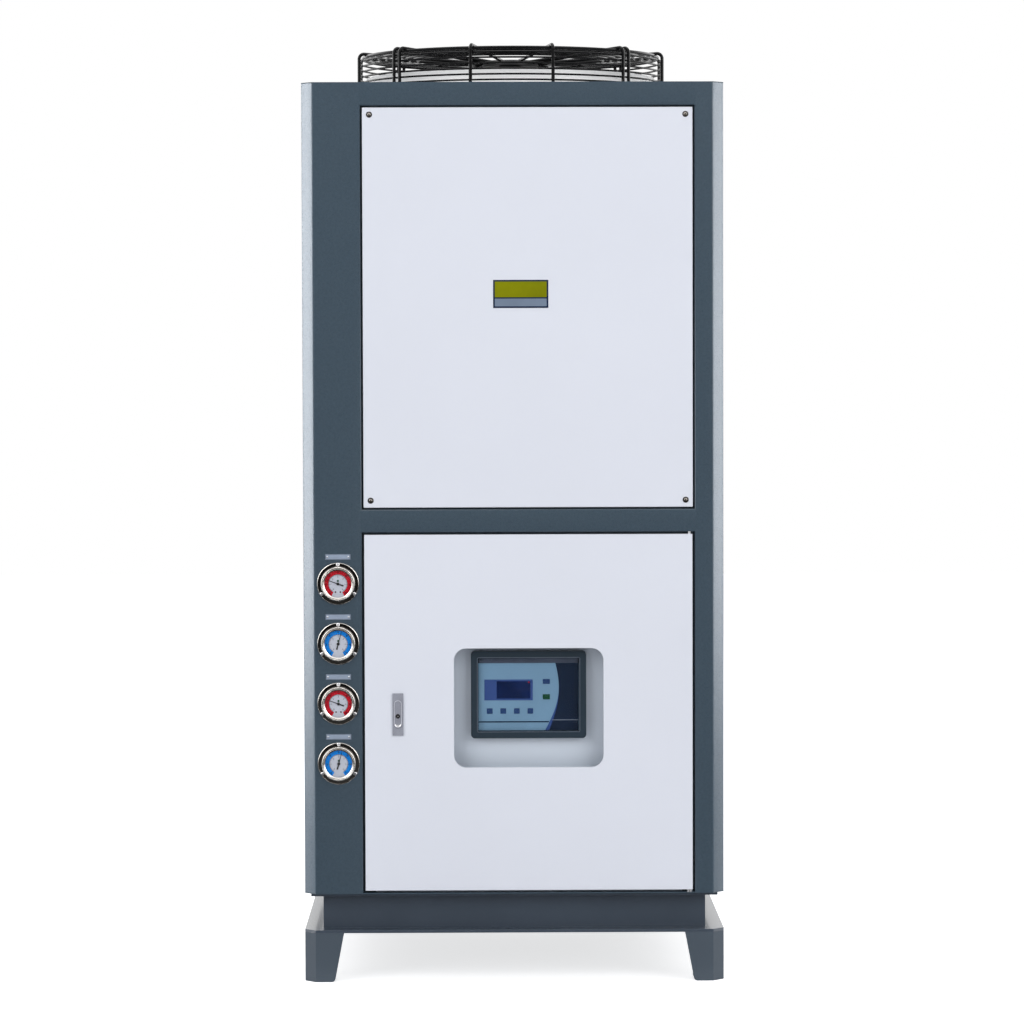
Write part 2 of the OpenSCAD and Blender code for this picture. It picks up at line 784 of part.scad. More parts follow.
// Blade cut by its plan from a curved sheet whose axis runs outwards
module blade() {
    reach = impeller_r + 1;
    intersection() {
        translate([0, 0, hub_base_z]) linear_extrude(impeller_hub_h) blade_plan();
        translate([0, -blade_curve_r * sin(blade_pitch), blade_z - blade_curve_r * cos(blade_pitch)])
            rotate([0, 90, 0]) difference() {
                cylinder(r = blade_curve_r, h = reach);
                translate([0, 0, -eps]) cylinder(r = blade_curve_r - blade_t, h = reach + 2 * eps);
            }
    }
}
module fan_impeller() {
    color("#2b2d31") at_fan() difference() {
        union() {
            translate([0, 0, hub_base_z]) cylinder(d = impeller_hub_d, h = impeller_hub_h);
            for (i = [0 : blade_count - 1]) rotate([0, 0, 360 * i / blade_count]) blade();
        }
        translate([0, 0, hub_base_z + hub_floor])
            cylinder(d = shaft_d + 2 * running_gap, h = impeller_hub_h);
    }
}

// Condenser

// Coil behind the lips of a side opening, its outer face a row of upright fins
module condenser_coil() {
    count = floor((coil_w - fin_pitch) / fin_pitch);
    start = -count * fin_pitch / 2;
    fin = fin_pitch / 4;
    translate([0, lip_back, coil_z]) linear_extrude(coil_h) polygon(concat(
        [[-coil_w / 2, 0]],
        [
            for (i = [0 : count - 1], corner = [0 : 3])
                let (x = start + i * fin_pitch + fin)
                [
                    [x, 0], [x, fin_depth],
                    [x + fin_pitch - 2 * fin, fin_depth], [x + fin_pitch - 2 * fin, 0]
                ][corner]
        ],
        [[coil_w / 2, 0], [coil_w / 2, coil_t], [-coil_w / 2, coil_t]]
    ));
}
module left_condenser_coil() { steel() on_side(-1) condenser_coil(); }
module right_condenser_coil() { steel() on_side(1) condenser_coil(); }

// Services

// Stands on the rear panel at the given place, with +Z pointing out
module on_rear(x, z) {
    translate([x, cabinet_d - panel_set_back, pan_z + z]) rotate([-90, 0, 0]) children();
}
module socket() {
    flange_t = 4;
    difference() {
        union() {
            cylinder(d = socket_flange_d, h = flange_t);
            cylinder(d = socket_d, h = socket_l);
        }
        translate([0, 0, socket_l - socket_bore_l])
            cylinder(d = socket_bore_d, h = socket_bore_l + eps);
    }
}
module water_inlet_socket() { steel() on_rear(service_x, socket_z) socket(); }
module water_outlet_socket() { steel() on_rear(service_x, socket_z - socket_pitch) socket(); }
module cable_gland() {
    nut_h = 8;
    black() on_rear(-service_x, socket_z) difference() {
        union() {
            cylinder(d = gland_d + 8, h = nut_h, $fn = 6);
            cylinder(d = gland_d, h = gland_l);
        }
        translate([0, 0, sheet_t]) cylinder(d = gland_bore_d, h = gland_l);
    }
}

in_place() front_base_channel();
in_place() rear_base_channel();
in_place() side_base_channels();
in_place() front_feet();
in_place() rear_feet();
in_place() base_pan();
in_place() front_left_post();
in_place() front_right_post();
in_place() rear_posts();
in_place() front_top_rail();
in_place() front_middle_rail();
in_place() side_top_rails();
in_place() side_middle_rails();
in_place() rear_rails();
in_place() top_cover();
in_place() middle_deck();
in_place() upper_front_panel();
in_place() upper_rear_panel();
in_place() lower_rear_panel();
in_place() lower_left_panel();
in_place() lower_right_panel();
in_place() front_door();
in_place() door_hinge_pins();
in_place() door_lock_plate();
in_place() door_lock_handle();
in_place() control_fascia();
in_place() controller_housing();
in_place() controller_keypad();
in_place() controller_window();
in_place() gauge_cases();
in_place() gauge_dials();
in_place() gauge_needles();
in_place() gauge_lenses();
in_place() fan_collar();
in_place() fan_guard_rings();
in_place() fan_guard_hoops();
in_place() fan_guard_arms();
in_place() fan_motor();
in_place() fan_impeller();
in_place() left_condenser_coil();
in_place() right_condenser_coil();
in_place() water_inlet_socket();
in_place() water_outlet_socket();
in_place() cable_gland();
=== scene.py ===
import itertools
import math

import bmesh
import bpy
import numpy as np
from mathutils import Matrix, Vector


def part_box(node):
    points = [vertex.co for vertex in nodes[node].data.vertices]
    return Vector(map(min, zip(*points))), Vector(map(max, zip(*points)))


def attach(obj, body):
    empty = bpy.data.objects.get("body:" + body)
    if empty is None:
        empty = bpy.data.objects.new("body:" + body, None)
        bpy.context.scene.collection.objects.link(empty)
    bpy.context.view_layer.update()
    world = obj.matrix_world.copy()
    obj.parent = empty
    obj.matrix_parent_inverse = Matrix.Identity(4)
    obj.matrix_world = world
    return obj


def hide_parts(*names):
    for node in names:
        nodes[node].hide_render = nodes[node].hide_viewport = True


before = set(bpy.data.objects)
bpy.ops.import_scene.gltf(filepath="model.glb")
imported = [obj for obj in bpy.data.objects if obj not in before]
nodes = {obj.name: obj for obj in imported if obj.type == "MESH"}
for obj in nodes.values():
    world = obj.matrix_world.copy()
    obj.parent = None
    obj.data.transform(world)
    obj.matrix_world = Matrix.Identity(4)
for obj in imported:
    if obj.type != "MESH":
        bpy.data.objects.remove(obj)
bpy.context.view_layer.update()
print("frame loaded:", len(nodes), "nodes")


# Lowest and highest corner of a node
def boxOf(name):
    return [np.array(corner, dtype=float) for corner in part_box(name)]


postLow, postHigh = boxOf("front_left_post")
faceY, postTop = postLow[1], postHigh[2]        # front face of the cabinet, top of its posts
rearY = boxOf("rear_posts")[1][1]
sideX = boxOf("front_right_post")[1][0]
coverTop = boxOf("top_cover")[1][2]
panTop = boxOf("base_pan")[1][2]
fanY = 0.5 * (faceY + rearY)                    # the fan stands in the middle
frontWards = (0, -1, 0)


# Mesh tools

# A grid of points joined into quads: cell (i, j) takes the corners i, i+1 and j, j+1
def gridPart(points, closeU=False, closeV=False):
    points = np.asarray(points, dtype=float)
    nu, nv = points.shape[:2]
    index = np.arange(nu * nv).reshape(nu, nv)
    if closeU:
        index = np.vstack([index, index[:1]])
    if closeV:
        index = np.hstack([index, index[:, :1]])
    quads = np.stack([index[:-1, :-1], index[1:, :-1], index[1:, 1:], index[:-1, 1:]], axis=-1)
    return points.reshape(-1, 3), quads.reshape(-1, 4).tolist()


# One face through a row of a grid whose rows are closed outlines
def capFace(points, row):
    nu, nv = points.shape[:2]
    return (np.arange(nv) + (row % nu) * nv).tolist()


# Several parts as one: each part's faces count on from the points before it
def joinParts(parts):
    verts, faces, start = [], [], 0
    for partVerts, partFaces in parts:
        verts.append(partVerts)
        faces += [[i + start for i in face] for face in partFaces]
        start += len(partVerts)
    return np.concatenate(verts), faces


# The same part at several places: verts + offset for each offset
def copiesOf(part, offsets):
    verts, faces = part
    offsets = np.asarray(offsets, dtype=float)
    moved = (verts[None] + offsets[:, None]).reshape(-1, 3)
    count = len(verts)
    return moved, [[i + k * count for i in face] for k in range(len(offsets)) for face in faces]


def movedPart(part, offset):
    return part[0] + np.asarray(offset, dtype=float), part[1]


# Turns a part drawn in X right, Y up, Z towards the viewer so that it faces -Y, then moves it
def toFront(part, place):
    verts, faces = part
    turned = np.stack([verts[:, 0], -verts[:, 2], verts[:, 1]], axis=1)
    return turned + np.asarray(place, dtype=float), faces


# The same part on the front at several places, as one
def onFront(part, places):
    return joinParts([toFront(part, place) for place in places])


# Turns a part that stands on the front about the cabinet's middle, by quarter turns
def quarterTurn(part, quarters):
    verts, faces = part
    a = quarters * math.pi / 2
    x, y = verts[:, 0], verts[:, 1] - fanY
    c, s = math.cos(a), math.sin(a)
    return np.stack([c * x - s * y, s * x + c * y + fanY, verts[:, 2]], axis=1), faces


# Piece from a part: doubles merged, faces turned outwards, shaded smooth up to an angle in degrees
def addPiece(name, part, material, body="chiller", slot=None, replaces=(), facing=None, smooth=35):
    verts, faces = part
    mesh = bpy.data.meshes.new(name)
    mesh.from_pydata(verts.tolist(), [], faces)
    work = bmesh.new()
    work.from_mesh(mesh)
    bmesh.ops.remove_doubles(work, verts=work.verts, dist=1e-7)
    if facing is None:
        bmesh.ops.recalc_face_normals(work, faces=work.faces)
    elif facing != "drawn":     # drawn: the grid's own order already faces outwards
        away = [f for f in work.faces if f.normal.dot(Vector(facing)) < 0]
        bmesh.ops.reverse_faces(work, faces=away)
    work.to_mesh(mesh)
    work.free()
    mesh.polygons.foreach_set("use_smooth", np.ones(len(mesh.polygons), dtype=bool))
    mesh.set_sharp_from_angle(angle=math.radians(smooth))
    mesh.materials.append(material)
    obj = bpy.data.objects.new(name, mesh)
    bpy.context.scene.collection.objects.link(obj)
    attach(obj, body)
    if replaces:
        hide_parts(*replaces)
    return obj


# Outline of a rectangle with round corners, less an inset: four quarter arcs joined end to end
def roundOutline(width, height, radius, inset, steps):
    w, h, r = width / 2 - inset, height / 2 - inset, max(radius - inset, 1e-5)
    a = np.linspace(0, math.pi / 2, steps + 1)
    turn = np.concatenate([a, a + math.pi / 2, a + math.pi, a + 1.5 * math.pi])
    cx = np.repeat(np.array([1, -1, -1, 1]) * (w - r), steps + 1)
    cy = np.repeat(np.array([1, 1, -1, -1]) * (h - r), steps + 1)
    return np.stack([cx + r * np.cos(turn), cy + r * np.sin(turn)], axis=1)


# Grid of closed rows with a face over its first and its last row
def closedPart(points):
    verts, faces = gridPart(points, closeV=True)
    return verts, faces + [capFace(points, 0)[::-1], capFace(points, -1)]


# Rows of points: the round outline at each (inset, height) pair of a profile
def outlineRows(width, height, radius, profile, steps):
    return np.stack([np.column_stack([roundOutline(width, height, radius, d, steps),
                                      np.full(4 * (steps + 1), z)]) for d, z in profile])


# Plate: its outline is carried up a profile of (inset, height) pairs and closed on top
def platePart(width, height, radius, profile, steps=6):
    points = outlineRows(width, height, radius, profile, steps)
    verts, faces = gridPart(points, closeV=True)
    return verts, faces + [capFace(points, -1)]


# Frame: a closed profile of (inset, height) pairs carried round the outline of a plate
def framePart(width, height, radius, profile, steps=6):
    return gridPart(outlineRows(width, height, radius, profile, steps), closeU=True, closeV=True)


# Edge profile of a plate: up from the base, round a quarter arc of the given radius, to the top
def softEdge(thick, radius, steps=3):
    a = np.linspace(0, math.pi / 2, steps + 1)
    arc = [(radius * (1 - math.cos(t)), thick - radius + radius * math.sin(t)) for t in a]
    return [(0.0, 0.0)] + arc


# Turned part: a profile of (radius, height) pairs carried round the Z axis
def turnedPart(profile, around=32):
    profile = np.asarray(profile, dtype=float)
    a = np.linspace(0, 2 * math.pi, around, endpoint=False)
    x = profile[:, :1] * np.cos(a)
    y = profile[:, :1] * np.sin(a)
    z = np.repeat(profile[:, 1:], around, axis=1)
    return gridPart(np.stack([x, y, z], axis=-1), closeV=True)


# Wire ring: a small circle of radius w carried round a circle of radius r at height z
def ringPart(r, z, w, around=96, sides=10):
    a = np.linspace(0, 2 * math.pi, around, endpoint=False)[:, None]
    p = np.linspace(0, 2 * math.pi, sides, endpoint=False)[None]
    reach = r + w * np.cos(p)
    points = np.stack([reach * np.cos(a), reach * np.sin(a), z + w * np.sin(p) + 0 * a], axis=-1)
    return gridPart(points, closeU=True, closeV=True)


# Tube: a circle of radius w carried along a path that lies in a plane with the given normal
def tubePart(path, normal, w, sides=10):
    path = np.asarray(path, dtype=float)
    normal = np.asarray(normal, dtype=float)
    along = np.gradient(path, axis=0)
    along /= np.linalg.norm(along, axis=1, keepdims=True)
    side = np.cross(along, normal)
    p = np.linspace(0, 2 * math.pi, sides, endpoint=False)
    points = (path[:, None] + w * np.cos(p)[None, :, None] * side[:, None]
              + w * np.sin(p)[None, :, None] * normal)
    return closedPart(points)


# Materials

def startMaterial(name):
    material = bpy.data.materials.new(name)
    material.use_nodes = True
    tree = material.node_tree
    shader = tree.nodes["Principled BSDF"]
    coord = tree.nodes.new("ShaderNodeTexCoord")
    return material, tree, shader, coord


def noiseNode(tree, coord, scale, detail=2.0, stretch=None):
    noise = tree.nodes.new("ShaderNodeTexNoise")
    noise.inputs["Scale"].default_value = scale
    noise.inputs["Detail"].default_value = detail
    if stretch:
        mapping = tree.nodes.new("ShaderNodeMapping")
        mapping.inputs["Scale"].default_value = stretch
        tree.links.new(coord.outputs["Object"], mapping.inputs["Vector"])
        tree.links.new(mapping.outputs["Vector"], noise.inputs["Vector"])
    else:
        tree.links.new(coord.outputs["Object"], noise.inputs["Vector"])
    return noise


def rampNode(tree, source, low, high, start=0.3, end=0.7):
    ramp = tree.nodes.new("ShaderNodeValToRGB")
    ramp.color_ramp.elements[0].position = start
    ramp.color_ramp.elements[1].position = end
    ramp.color_ramp.elements[0].color = (*low, 1)
    ramp.color_ramp.elements[1].color = (*high, 1)
    tree.links.new(source, ramp.inputs["Fac"])
    return ramp


def rangeNode(tree, source, low, high, start=0.3, end=0.7):
    node = tree.nodes.new("ShaderNodeMapRange")
    node.inputs["From Min"].default_value = start
    node.inputs["From Max"].default_value = end
    node.inputs["To Min"].default_value = low
    node.inputs["To Max"].default_value = high
    tree.links.new(source, node.inputs["Value"])
    return node


def bumpNode(tree, height, shader, strength, distance):
    bump = tree.nodes.new("ShaderNodeBump")
    bump.inputs["Strength"].default_value = strength
    bump.inputs["Distance"].default_value = distance
    tree.links.new(height, bump.inputs["Height"])
    tree.links.new(bump.outputs["Normal"], shader.inputs["Normal"])


# Tone that drifts up and down by a share with a noise
def driftTone(tree, shader, noise, tone, drift):
    tone = np.array(tone)
    ramp = rampNode(tree, noise.outputs["Fac"], tone * (1 - drift), tone * (1 + drift))
    tree.links.new(ramp.outputs["Color"], shader.inputs["Base Color"])


# Roughness that goes from low to high with a noise
def spreadRoughness(tree, shader, noise, low, high):
    spread = rangeNode(tree, noise.outputs["Fac"], low, high)
    tree.links.new(spread.outputs["Result"], shader.inputs["Roughness"])


finishSpread, coatRough, clearIor = 0.05, 0.08, 1.49


# Coat of paint: a slow drift of tone, a fine grain in the height and in the roughness
def paintMaterial(name, tone, rough, grain, strength, depth, drift=0.05, specular=0.5, driftScale=2.5,
                  coat=0.0):
    material, tree, shader, coord = startMaterial(name)
    fine = noiseNode(tree, coord, grain)
    driftTone(tree, shader, noiseNode(tree, coord, driftScale, 3.0), tone, drift)
    spreadRoughness(tree, shader, fine, rough - finishSpread, rough + finishSpread)
    shader.inputs["Specular IOR Level"].default_value = specular
    shader.inputs["Coat Weight"].default_value = coat
    shader.inputs["Coat Roughness"].default_value = coatRough
    bumpNode(tree, fine.outputs["Fac"], shader, strength, depth)
    return material


# Metal: a fine brushing stretched along one axis, in the roughness and a little in the tone
def metalMaterial(name, tone, rough, scale, stretch, spread=0.06, drift=0.06):
    material, tree, shader, coord = startMaterial(name)
    brush = noiseNode(tree, coord, scale, 3.0, stretch)
    driftTone(tree, shader, brush, tone, drift)
    spreadRoughness(tree, shader, brush, rough - spread, rough + spread)
    shader.inputs["Metallic"].default_value = 1.0
    return material


# pitch and first row of the tubes, and the tone and range of the painted shade on the fins at the tube rows
coilRows = {"pitch": 0.0254, "first": 0.02, "tubeShadeTone": (0.55, 0.55, 0.56), "band": (0.72, 0.95)}


# Coil fins: bare metal, with painted shade in level bands where the tubes pass
def finMaterial(name, tone, rough, coilFoot):
    material = metalMaterial(name, tone, rough, 300, (1, 1, 0.08), 0.05, 0.02)
    tree = material.node_tree
    shader = tree.nodes["Principled BSDF"]
    coord = next(n for n in tree.nodes if n.type == "TEX_COORD")
    perMetre = 2 * math.pi / coilRows["pitch"]
    wave = tree.nodes.new("ShaderNodeTexWave")
    wave.bands_direction = "Z"
    wave.inputs["Scale"].default_value = perMetre / 20      # the node takes 20 times its scale
    wave.inputs["Phase Offset"].default_value = math.pi - perMetre * (coilFoot + coilRows["first"])
    tree.links.new(coord.outputs["Object"], wave.inputs["Vector"])
    tubeShade = rampNode(tree, wave.outputs["Fac"], (1, 1, 1), coilRows["tubeShadeTone"], *coilRows["band"])
    mixed = tree.nodes.new("ShaderNodeMix")
    mixed.data_type = "RGBA"
    mixed.blend_type = "MULTIPLY"
    mixed.inputs["Factor"].default_value = 1.0
    tree.links.new(shader.inputs["Base Color"].links[0].from_socket, mixed.inputs["A"])
    tree.links.new(tubeShade.outputs["Color"], mixed.inputs["B"])
    tree.links.new(mixed.outputs["Result"], shader.inputs["Base Color"])
    return material


# Clear sheet: a thin see-through coat with a faint haze that drifts across it
def clearMaterial(name, tone, alpha, rough):
    material, tree, shader, coord = startMaterial(name)
    spreadRoughness(tree, shader, noiseNode(tree, coord, 30.0, 3.0), rough, rough + finishSpread)
    shader.inputs["Base Color"].default_value = (*tone, 1)
    shader.inputs["Alpha"].default_value = alpha
    shader.inputs["IOR"].default_value = clearIor
    return material


# paint: tone, roughness, grain, its strength and depth, drift of tone, gloss, scale of the drift
# metal: tone, roughness, brushing, its stretch, spread of roughness
finishes = {
    "frame": paintMaterial("framePowderCoat", (0.045, 0.0745, 0.1035), 0.31, 900, 0.26, 0.0006, 0.1, 0.8,
                           200),
    "base": paintMaterial("basePaint", (0.056, 0.075, 0.103), 0.3, 1400, 0.05, 0.0002, 0.08, 0.5, 6,
                          coat=0.7),
    "foot": paintMaterial("footPaint", (0.074, 0.096, 0.122), 0.4, 900, 0.2, 0.0005, 0.05, 0.3),
    "panel": paintMaterial("panelPowderCoat", (0.76, 0.785, 0.86), 0.36, 420, 0.06, 0.0003, 0.012),
    "collar": paintMaterial("collarPaint", (0.92, 0.92, 0.92), 0.34, 420, 0.06, 0.0003, 0.012),
    "fascia": paintMaterial("fasciaPaint", (0.67, 0.735, 0.82), 0.4, 500, 0.08, 0.0003, 0.02),
    "housing": paintMaterial("housingPlastic", (0.017, 0.034, 0.052), 0.42, 1500, 0.12, 0.0002, 0.08),
    "keypad": paintMaterial("keypadFilm", (0.265, 0.475, 0.69), 0.45, 900, 0.05, 0.0002, 0.05, 0.2, 12),
    "guard": paintMaterial("guardCoating", (0.005, 0.005, 0.0055), 0.24, 300, 0.1, 0.0004, 0.1, 0.16),
    "motor": paintMaterial("motorPaint", (0.014, 0.014, 0.016), 0.45, 700, 0.2, 0.0004, 0.1),
    "dial": paintMaterial("dialFace", (0.62, 0.65, 0.74), 0.5, 1200, 0.03, 0.0001, 0.02),
    "needle": paintMaterial("needlePaint", (0.012, 0.012, 0.013), 0.5, 1500, 0.05, 0.0001, 0.08),
    "gland": paintMaterial("glandPlastic", (0.015, 0.015, 0.017), 0.5, 800, 0.1, 0.0002, 0.1),
    "chrome": metalMaterial("darkChrome", (0.34, 0.315, 0.29), 0.09, 60, (1, 1, 12), 0.03),
    "bezel": metalMaterial("satinSilver", (0.86, 0.83, 0.79), 0.22, 60, (1, 1, 12), 0.05),
    "bright": metalMaterial("brightNickel", (0.86, 0.86, 0.88), 0.34, 90, (1, 1, 8), 0.08),
    "zinc": metalMaterial("zincPlate", (0.6, 0.61, 0.64), 0.3, 90, (1, 1, 8), 0.08),
    "fins": finMaterial("finAluminium", (0.8, 0.81, 0.83), 0.42, boxOf("left_condenser_coil")[0][2]),
    "tubeCollar": metalMaterial("collarAluminium", (0.6, 0.6, 0.61), 0.5, 90, (1, 12, 1), 0.08),
    "lock": paintMaterial("lockZinc", (0.31, 0.32, 0.375), 0.3, 900, 0.12, 0.0002, 0.06, 0.9, 60),
    # painted highlight: the lock's rim is a lighter copy of the lock's zinc
    "lockRim": paintMaterial("lockRimZincHighlight", (0.62, 0.63, 0.69), 0.28, 900, 0.08, 0.0002, 0.05, 0.9, 60),
    "brass": metalMaterial("socketBrass", (0.5, 0.365, 0.18), 0.36, 80, (1, 10, 1), 0.08),
    "window": clearMaterial("clearWindow", (0.03, 0.04, 0.05), 0.12, 0.03),
    "lens": clearMaterial("gaugeLens", (0.1, 0.1, 0.1), 0.04, 0.02),
    "screw": metalMaterial("washerSteel", (0.13, 0.125, 0.12), 0.3, 90, (1, 1, 8), 0.08),
}

nodeFinish = {
    "base": ["front_base_channel", "rear_base_channel", "side_base_channels"],
    "foot": ["front_feet", "rear_feet"],
    "frame": ["base_pan", "front_left_post", "front_right_post", "rear_posts", "front_top_rail",
              "front_middle_rail", "side_top_rails", "side_middle_rails", "rear_rails", "top_cover",
              "middle_deck"],
    "panel": ["upper_front_panel", "upper_rear_panel", "lower_rear_panel", "lower_left_panel",
              "lower_right_panel", "front_door"],
    "collar": ["fan_collar"],
    "fascia": ["control_fascia"],
    "housing": ["controller_housing"],
    "keypad": ["controller_keypad"],
    "window": ["controller_window"],
    "chrome": ["gauge_cases"],
    "lock": ["door_lock_plate", "door_lock_handle"],
    "dial": ["gauge_dials"],
    "needle": ["gauge_needles"],
    "lens": ["gauge_lenses"],
    "guard": ["fan_guard_rings", "fan_guard_hoops", "fan_guard_arms"],
    "motor": ["fan_motor", "fan_impeller"],
    "fins": ["left_condenser_coil", "right_condenser_coil"],
    "bright": ["door_hinge_pins"],
    "brass": ["water_inlet_socket", "water_outlet_socket"],
    "gland": ["cable_gland"],
}
for finish, names in nodeFinish.items():
    for name in names:
        for place in nodes[name].material_slots:
            place.material = finishes[finish]
print("finishes on", sum(len(v) for v in nodeFinish.values()), "nodes")


# Folded edges of the sheet pieces: doubles are welded, then sharp edges get a small round
edgeRadius = dict.fromkeys(nodeFinish["panel"], 0.0016)
edgeRadius.update(dict.fromkeys(nodeFinish["base"] + nodeFinish["foot"], 0.0004))
edgeRadius.update({"controller_housing": 0.0022, "door_lock_plate": 0.0008, "cable_gland": 0.001})
sharpFrom = 35          # degrees
for name, radius in edgeRadius.items():
    weld = nodes[name].modifiers.new("weld", "WELD")
    weld.merge_threshold = 1e-5
    soft = nodes[name].modifiers.new("edgeRound", "BEVEL")
    soft.width = radius
    soft.segments = 3
    soft.limit_method = "ANGLE"
    soft.angle_limit = math.radians(sharpFrom)
    soft.harden_normals = True
print("edges rounded on", len(edgeRadius), "nodes")


# Cabinet frame: posts and rails as one folded skin, with the chamfered corners as a piece of their own

frameSkin = {
    "foldRadius": 0.0022,       # at the openings
    "bendRadius": 0.004,        # at the chamfers
    "chamfer": 0.0225,
    "rebate": 0.02,
    "lip": 0.025,
    "sheet": 0.002,
    "steps": 4,                 # in each bend
    "panelGap": 0.004,          # from the upper panel to its opening
    "doorGap": 0.005,
    "gaugeStile": 0.097,        # wide upright that carries the gauges
    "stile": 0.037,
}
bendReach = frameSkin["bendRadius"] * math.tan(math.pi / 8)     # from a bend's corner to its end


# Fold round an opening: the profile (offset from the edge, depth) is carried round its corners;
# a corner moves out by the offset both ways, and an open run keeps its foot at the floor pan
def foldPart(u0, u1, z0, z1, closed):
    s = frameSkin
    r = s["foldRadius"]
    a = np.linspace(0, math.pi / 2, s["steps"] + 1)
    offset = np.concatenate([r * (1 - np.sin(a)), [0, -s["lip"], -s["lip"], 0]])
    inner = s["rebate"] + s["sheet"]
    depth = np.concatenate([r * (1 - np.cos(a)), [s["rebate"], s["rebate"], inner, inner]])
    low = z0 - offset if closed else np.full_like(offset, z0)
    u = np.stack([u0 - offset, u0 - offset, u1 + offset, u1 + offset], axis=1)
    z = np.stack([low, z1 + offset, z1 + offset, low], axis=1)
    points = np.stack([u, faceY + np.repeat(depth[:, None], 4, axis=1), z], axis=-1)
    return gridPart(points, closeV=closed)


# Flat stretch of the face from (u0, z0) to (u1, z1)
def faceQuad(u0, u1, z0, z1):
    u, z = np.meshgrid([u0, u1], [z0, z1], indexing="ij")
    return gridPart(np.stack([u, np.full_like(u, faceY), z], axis=-1))


# Corner from one face to the next: an eighth turn, the chamfer and an eighth turn, carried up the post
def cornerPart(z0, z1):
    chamfer, r = frameSkin["chamfer"], frameSkin["bendRadius"]
    a = np.linspace(0, math.pi / 4, frameSkin["steps"] + 1)
    b = a + math.pi / 4
    x1, y1 = sideX - chamfer - bendReach, faceY + r     # centres of the two bends
    x2, y2 = sideX - r, faceY + chamfer + bendReach
    line = np.stack([np.concatenate([x1 + r * np.sin(a), x2 + r * np.sin(b)]),
                     np.concatenate([y1 - r * np.cos(a), y2 - r * np.cos(b)])], axis=1)
    points = np.stack([np.column_stack([line, np.full(len(line), z)]) for z in (z0, z1)], axis=1)
    return gridPart(points)


# One side of the cabinet: two stiles, the top and the middle rail, and the folds of both openings
def frameSide(leftStile, rightStile):
    s = frameSkin
    r = s["foldRadius"]
    panelLow, panelHigh = boxOf("upper_front_panel")
    eave, railTop = panelHigh[2] + s["panelGap"], panelLow[2] - s["panelGap"]
    railLow = boxOf("front_door")[1][2] + s["doorGap"]
    flat = sideX - s["chamfer"]
    left, right = leftStile - flat, flat - rightStile
    return joinParts([
        faceQuad(bendReach - flat, left - r, panTop, postTop),
        faceQuad(right + r, flat - bendReach, panTop, postTop),
        faceQuad(left - r, right + r, eave + r, postTop),
        faceQuad(left - r, right + r, railLow + r, railTop - r),
        foldPart(left, right, railTop, eave, True),
        foldPart(left, right, panTop, railLow, False),
    ])


stile = frameSkin["stile"]
plainSide = frameSide(stile, stile)
skin = joinParts([frameSide(frameSkin["gaugeStile"], stile)] + [quarterTurn(plainSide, k) for k in (1, 2, 3)])
addPiece("cabinetFrame", skin, finishes["frame"], slot="frame_paint", facing="drawn", smooth=50, replaces=(
    "front_left_post", "front_right_post", "rear_posts", "front_top_rail", "front_middle_rail",
    "side_top_rails", "side_middle_rails", "rear_rails"))
corners = joinParts([quarterTurn(cornerPart(panTop, postTop), k) for k in range(4)])
cornerPiece = addPiece("cabinetCorners", corners, finishes["frame"], slot="frame_paint", facing="drawn",
                       smooth=50)
print("cabinet frame folded")


# Fan guard

guard = {
    "firstBar": 15,         # degrees from the front and rear centre lines
    "barStep": 31.5,        # degrees to the next bar, the middle one of three is a pair
    "spread": 0.017,        # between the bars of a pair
    "armWire": 0.0035,      # wire radius of the bars
    "ringWire": 0.002,
    "rimWire": 0.0035,
    "armStart": 0.04,
    "armOut": 0.3305,       # reach of the bars
    "legTop": 0.03,         # above the top cover, the bars' legs are straight from here
    "legFoot": 0.002,       # down to here
    "bend": 0.014,
    "slopeEnd": 0.004,      # before the bend
    "height": 0.088,        # above the top cover
    "dip": 0.017,           # the middle lies lower than the rim
    "hoops": (0.0126, 0.0696, 6),   # lowest, highest, how many
    "rings": (0.2, 7),      # first of the close rings, how many
    "innerRing": 0.09,
    "weldSink": 0.0015,     # the rings are pressed into the bars by this
}


# Guard of round wire: rings under the bars, hoops inside their legs, and bars that bend down at the rim
def guardParts():
    g = guard
    top = coverTop + g["height"]
    shoulder = g["armOut"] - g["bend"]

    # drop of the bars at radius r: a straight slope from the shoulder down to their start
    def dipAt(r):
        return g["dip"] * (shoulder - r) / (shoulder - g["armStart"])

    # ring of outer radius r hung under the bars
    def hungRing(r, wire):
        under = top - 2 * g["armWire"] - dipAt(r - 2 * wire)
        return ringPart(r - wire, under - wire + g["weldSink"], wire)

    first, count = g["rings"]
    closeRings = first + (shoulder - first) * np.arange(count) / count
    parts = [hungRing(r, g["ringWire"]) for r in (g["innerRing"], *closeRings)]
    parts.append(hungRing(shoulder, g["rimWire"]))
    inside = g["armOut"] - 2 * g["armWire"] - g["ringWire"]
    parts += [ringPart(inside, coverTop + h, g["ringWire"]) for h in np.linspace(*g["hoops"])]
    # bar: out along the slope, round the bend, down to the collar's flange
    a = np.linspace(math.pi / 2, 0, 9)
    mid = g["bend"] - g["armWire"]
    slope = np.linspace(g["armStart"], shoulder - g["slopeEnd"], 6)
    r = np.concatenate([slope, shoulder + mid * np.cos(a), [g["armOut"] - g["armWire"]] * 2])
    z = np.concatenate([top - g["armWire"] - dipAt(slope), top - g["bend"] + mid * np.sin(a),
                        [coverTop + g["legTop"], coverTop + g["legFoot"]]])
    for half, hand, k in itertools.product((-90, 90), (-1, 1), range(3)):
        turn = math.radians(half + hand * (g["firstBar"] + k * g["barStep"]))
        out = np.array([math.cos(turn), math.sin(turn), 0])
        side = np.array([-math.sin(turn), math.cos(turn), 0])
        for s in ((-0.5, 0.5) if k == 1 else (0,)):
            path = r[:, None] * out + s * g["spread"] * side + z[:, None] * np.array([0, 0, 1])
            parts.append(tubePart(path, side, g["armWire"]))
    return parts


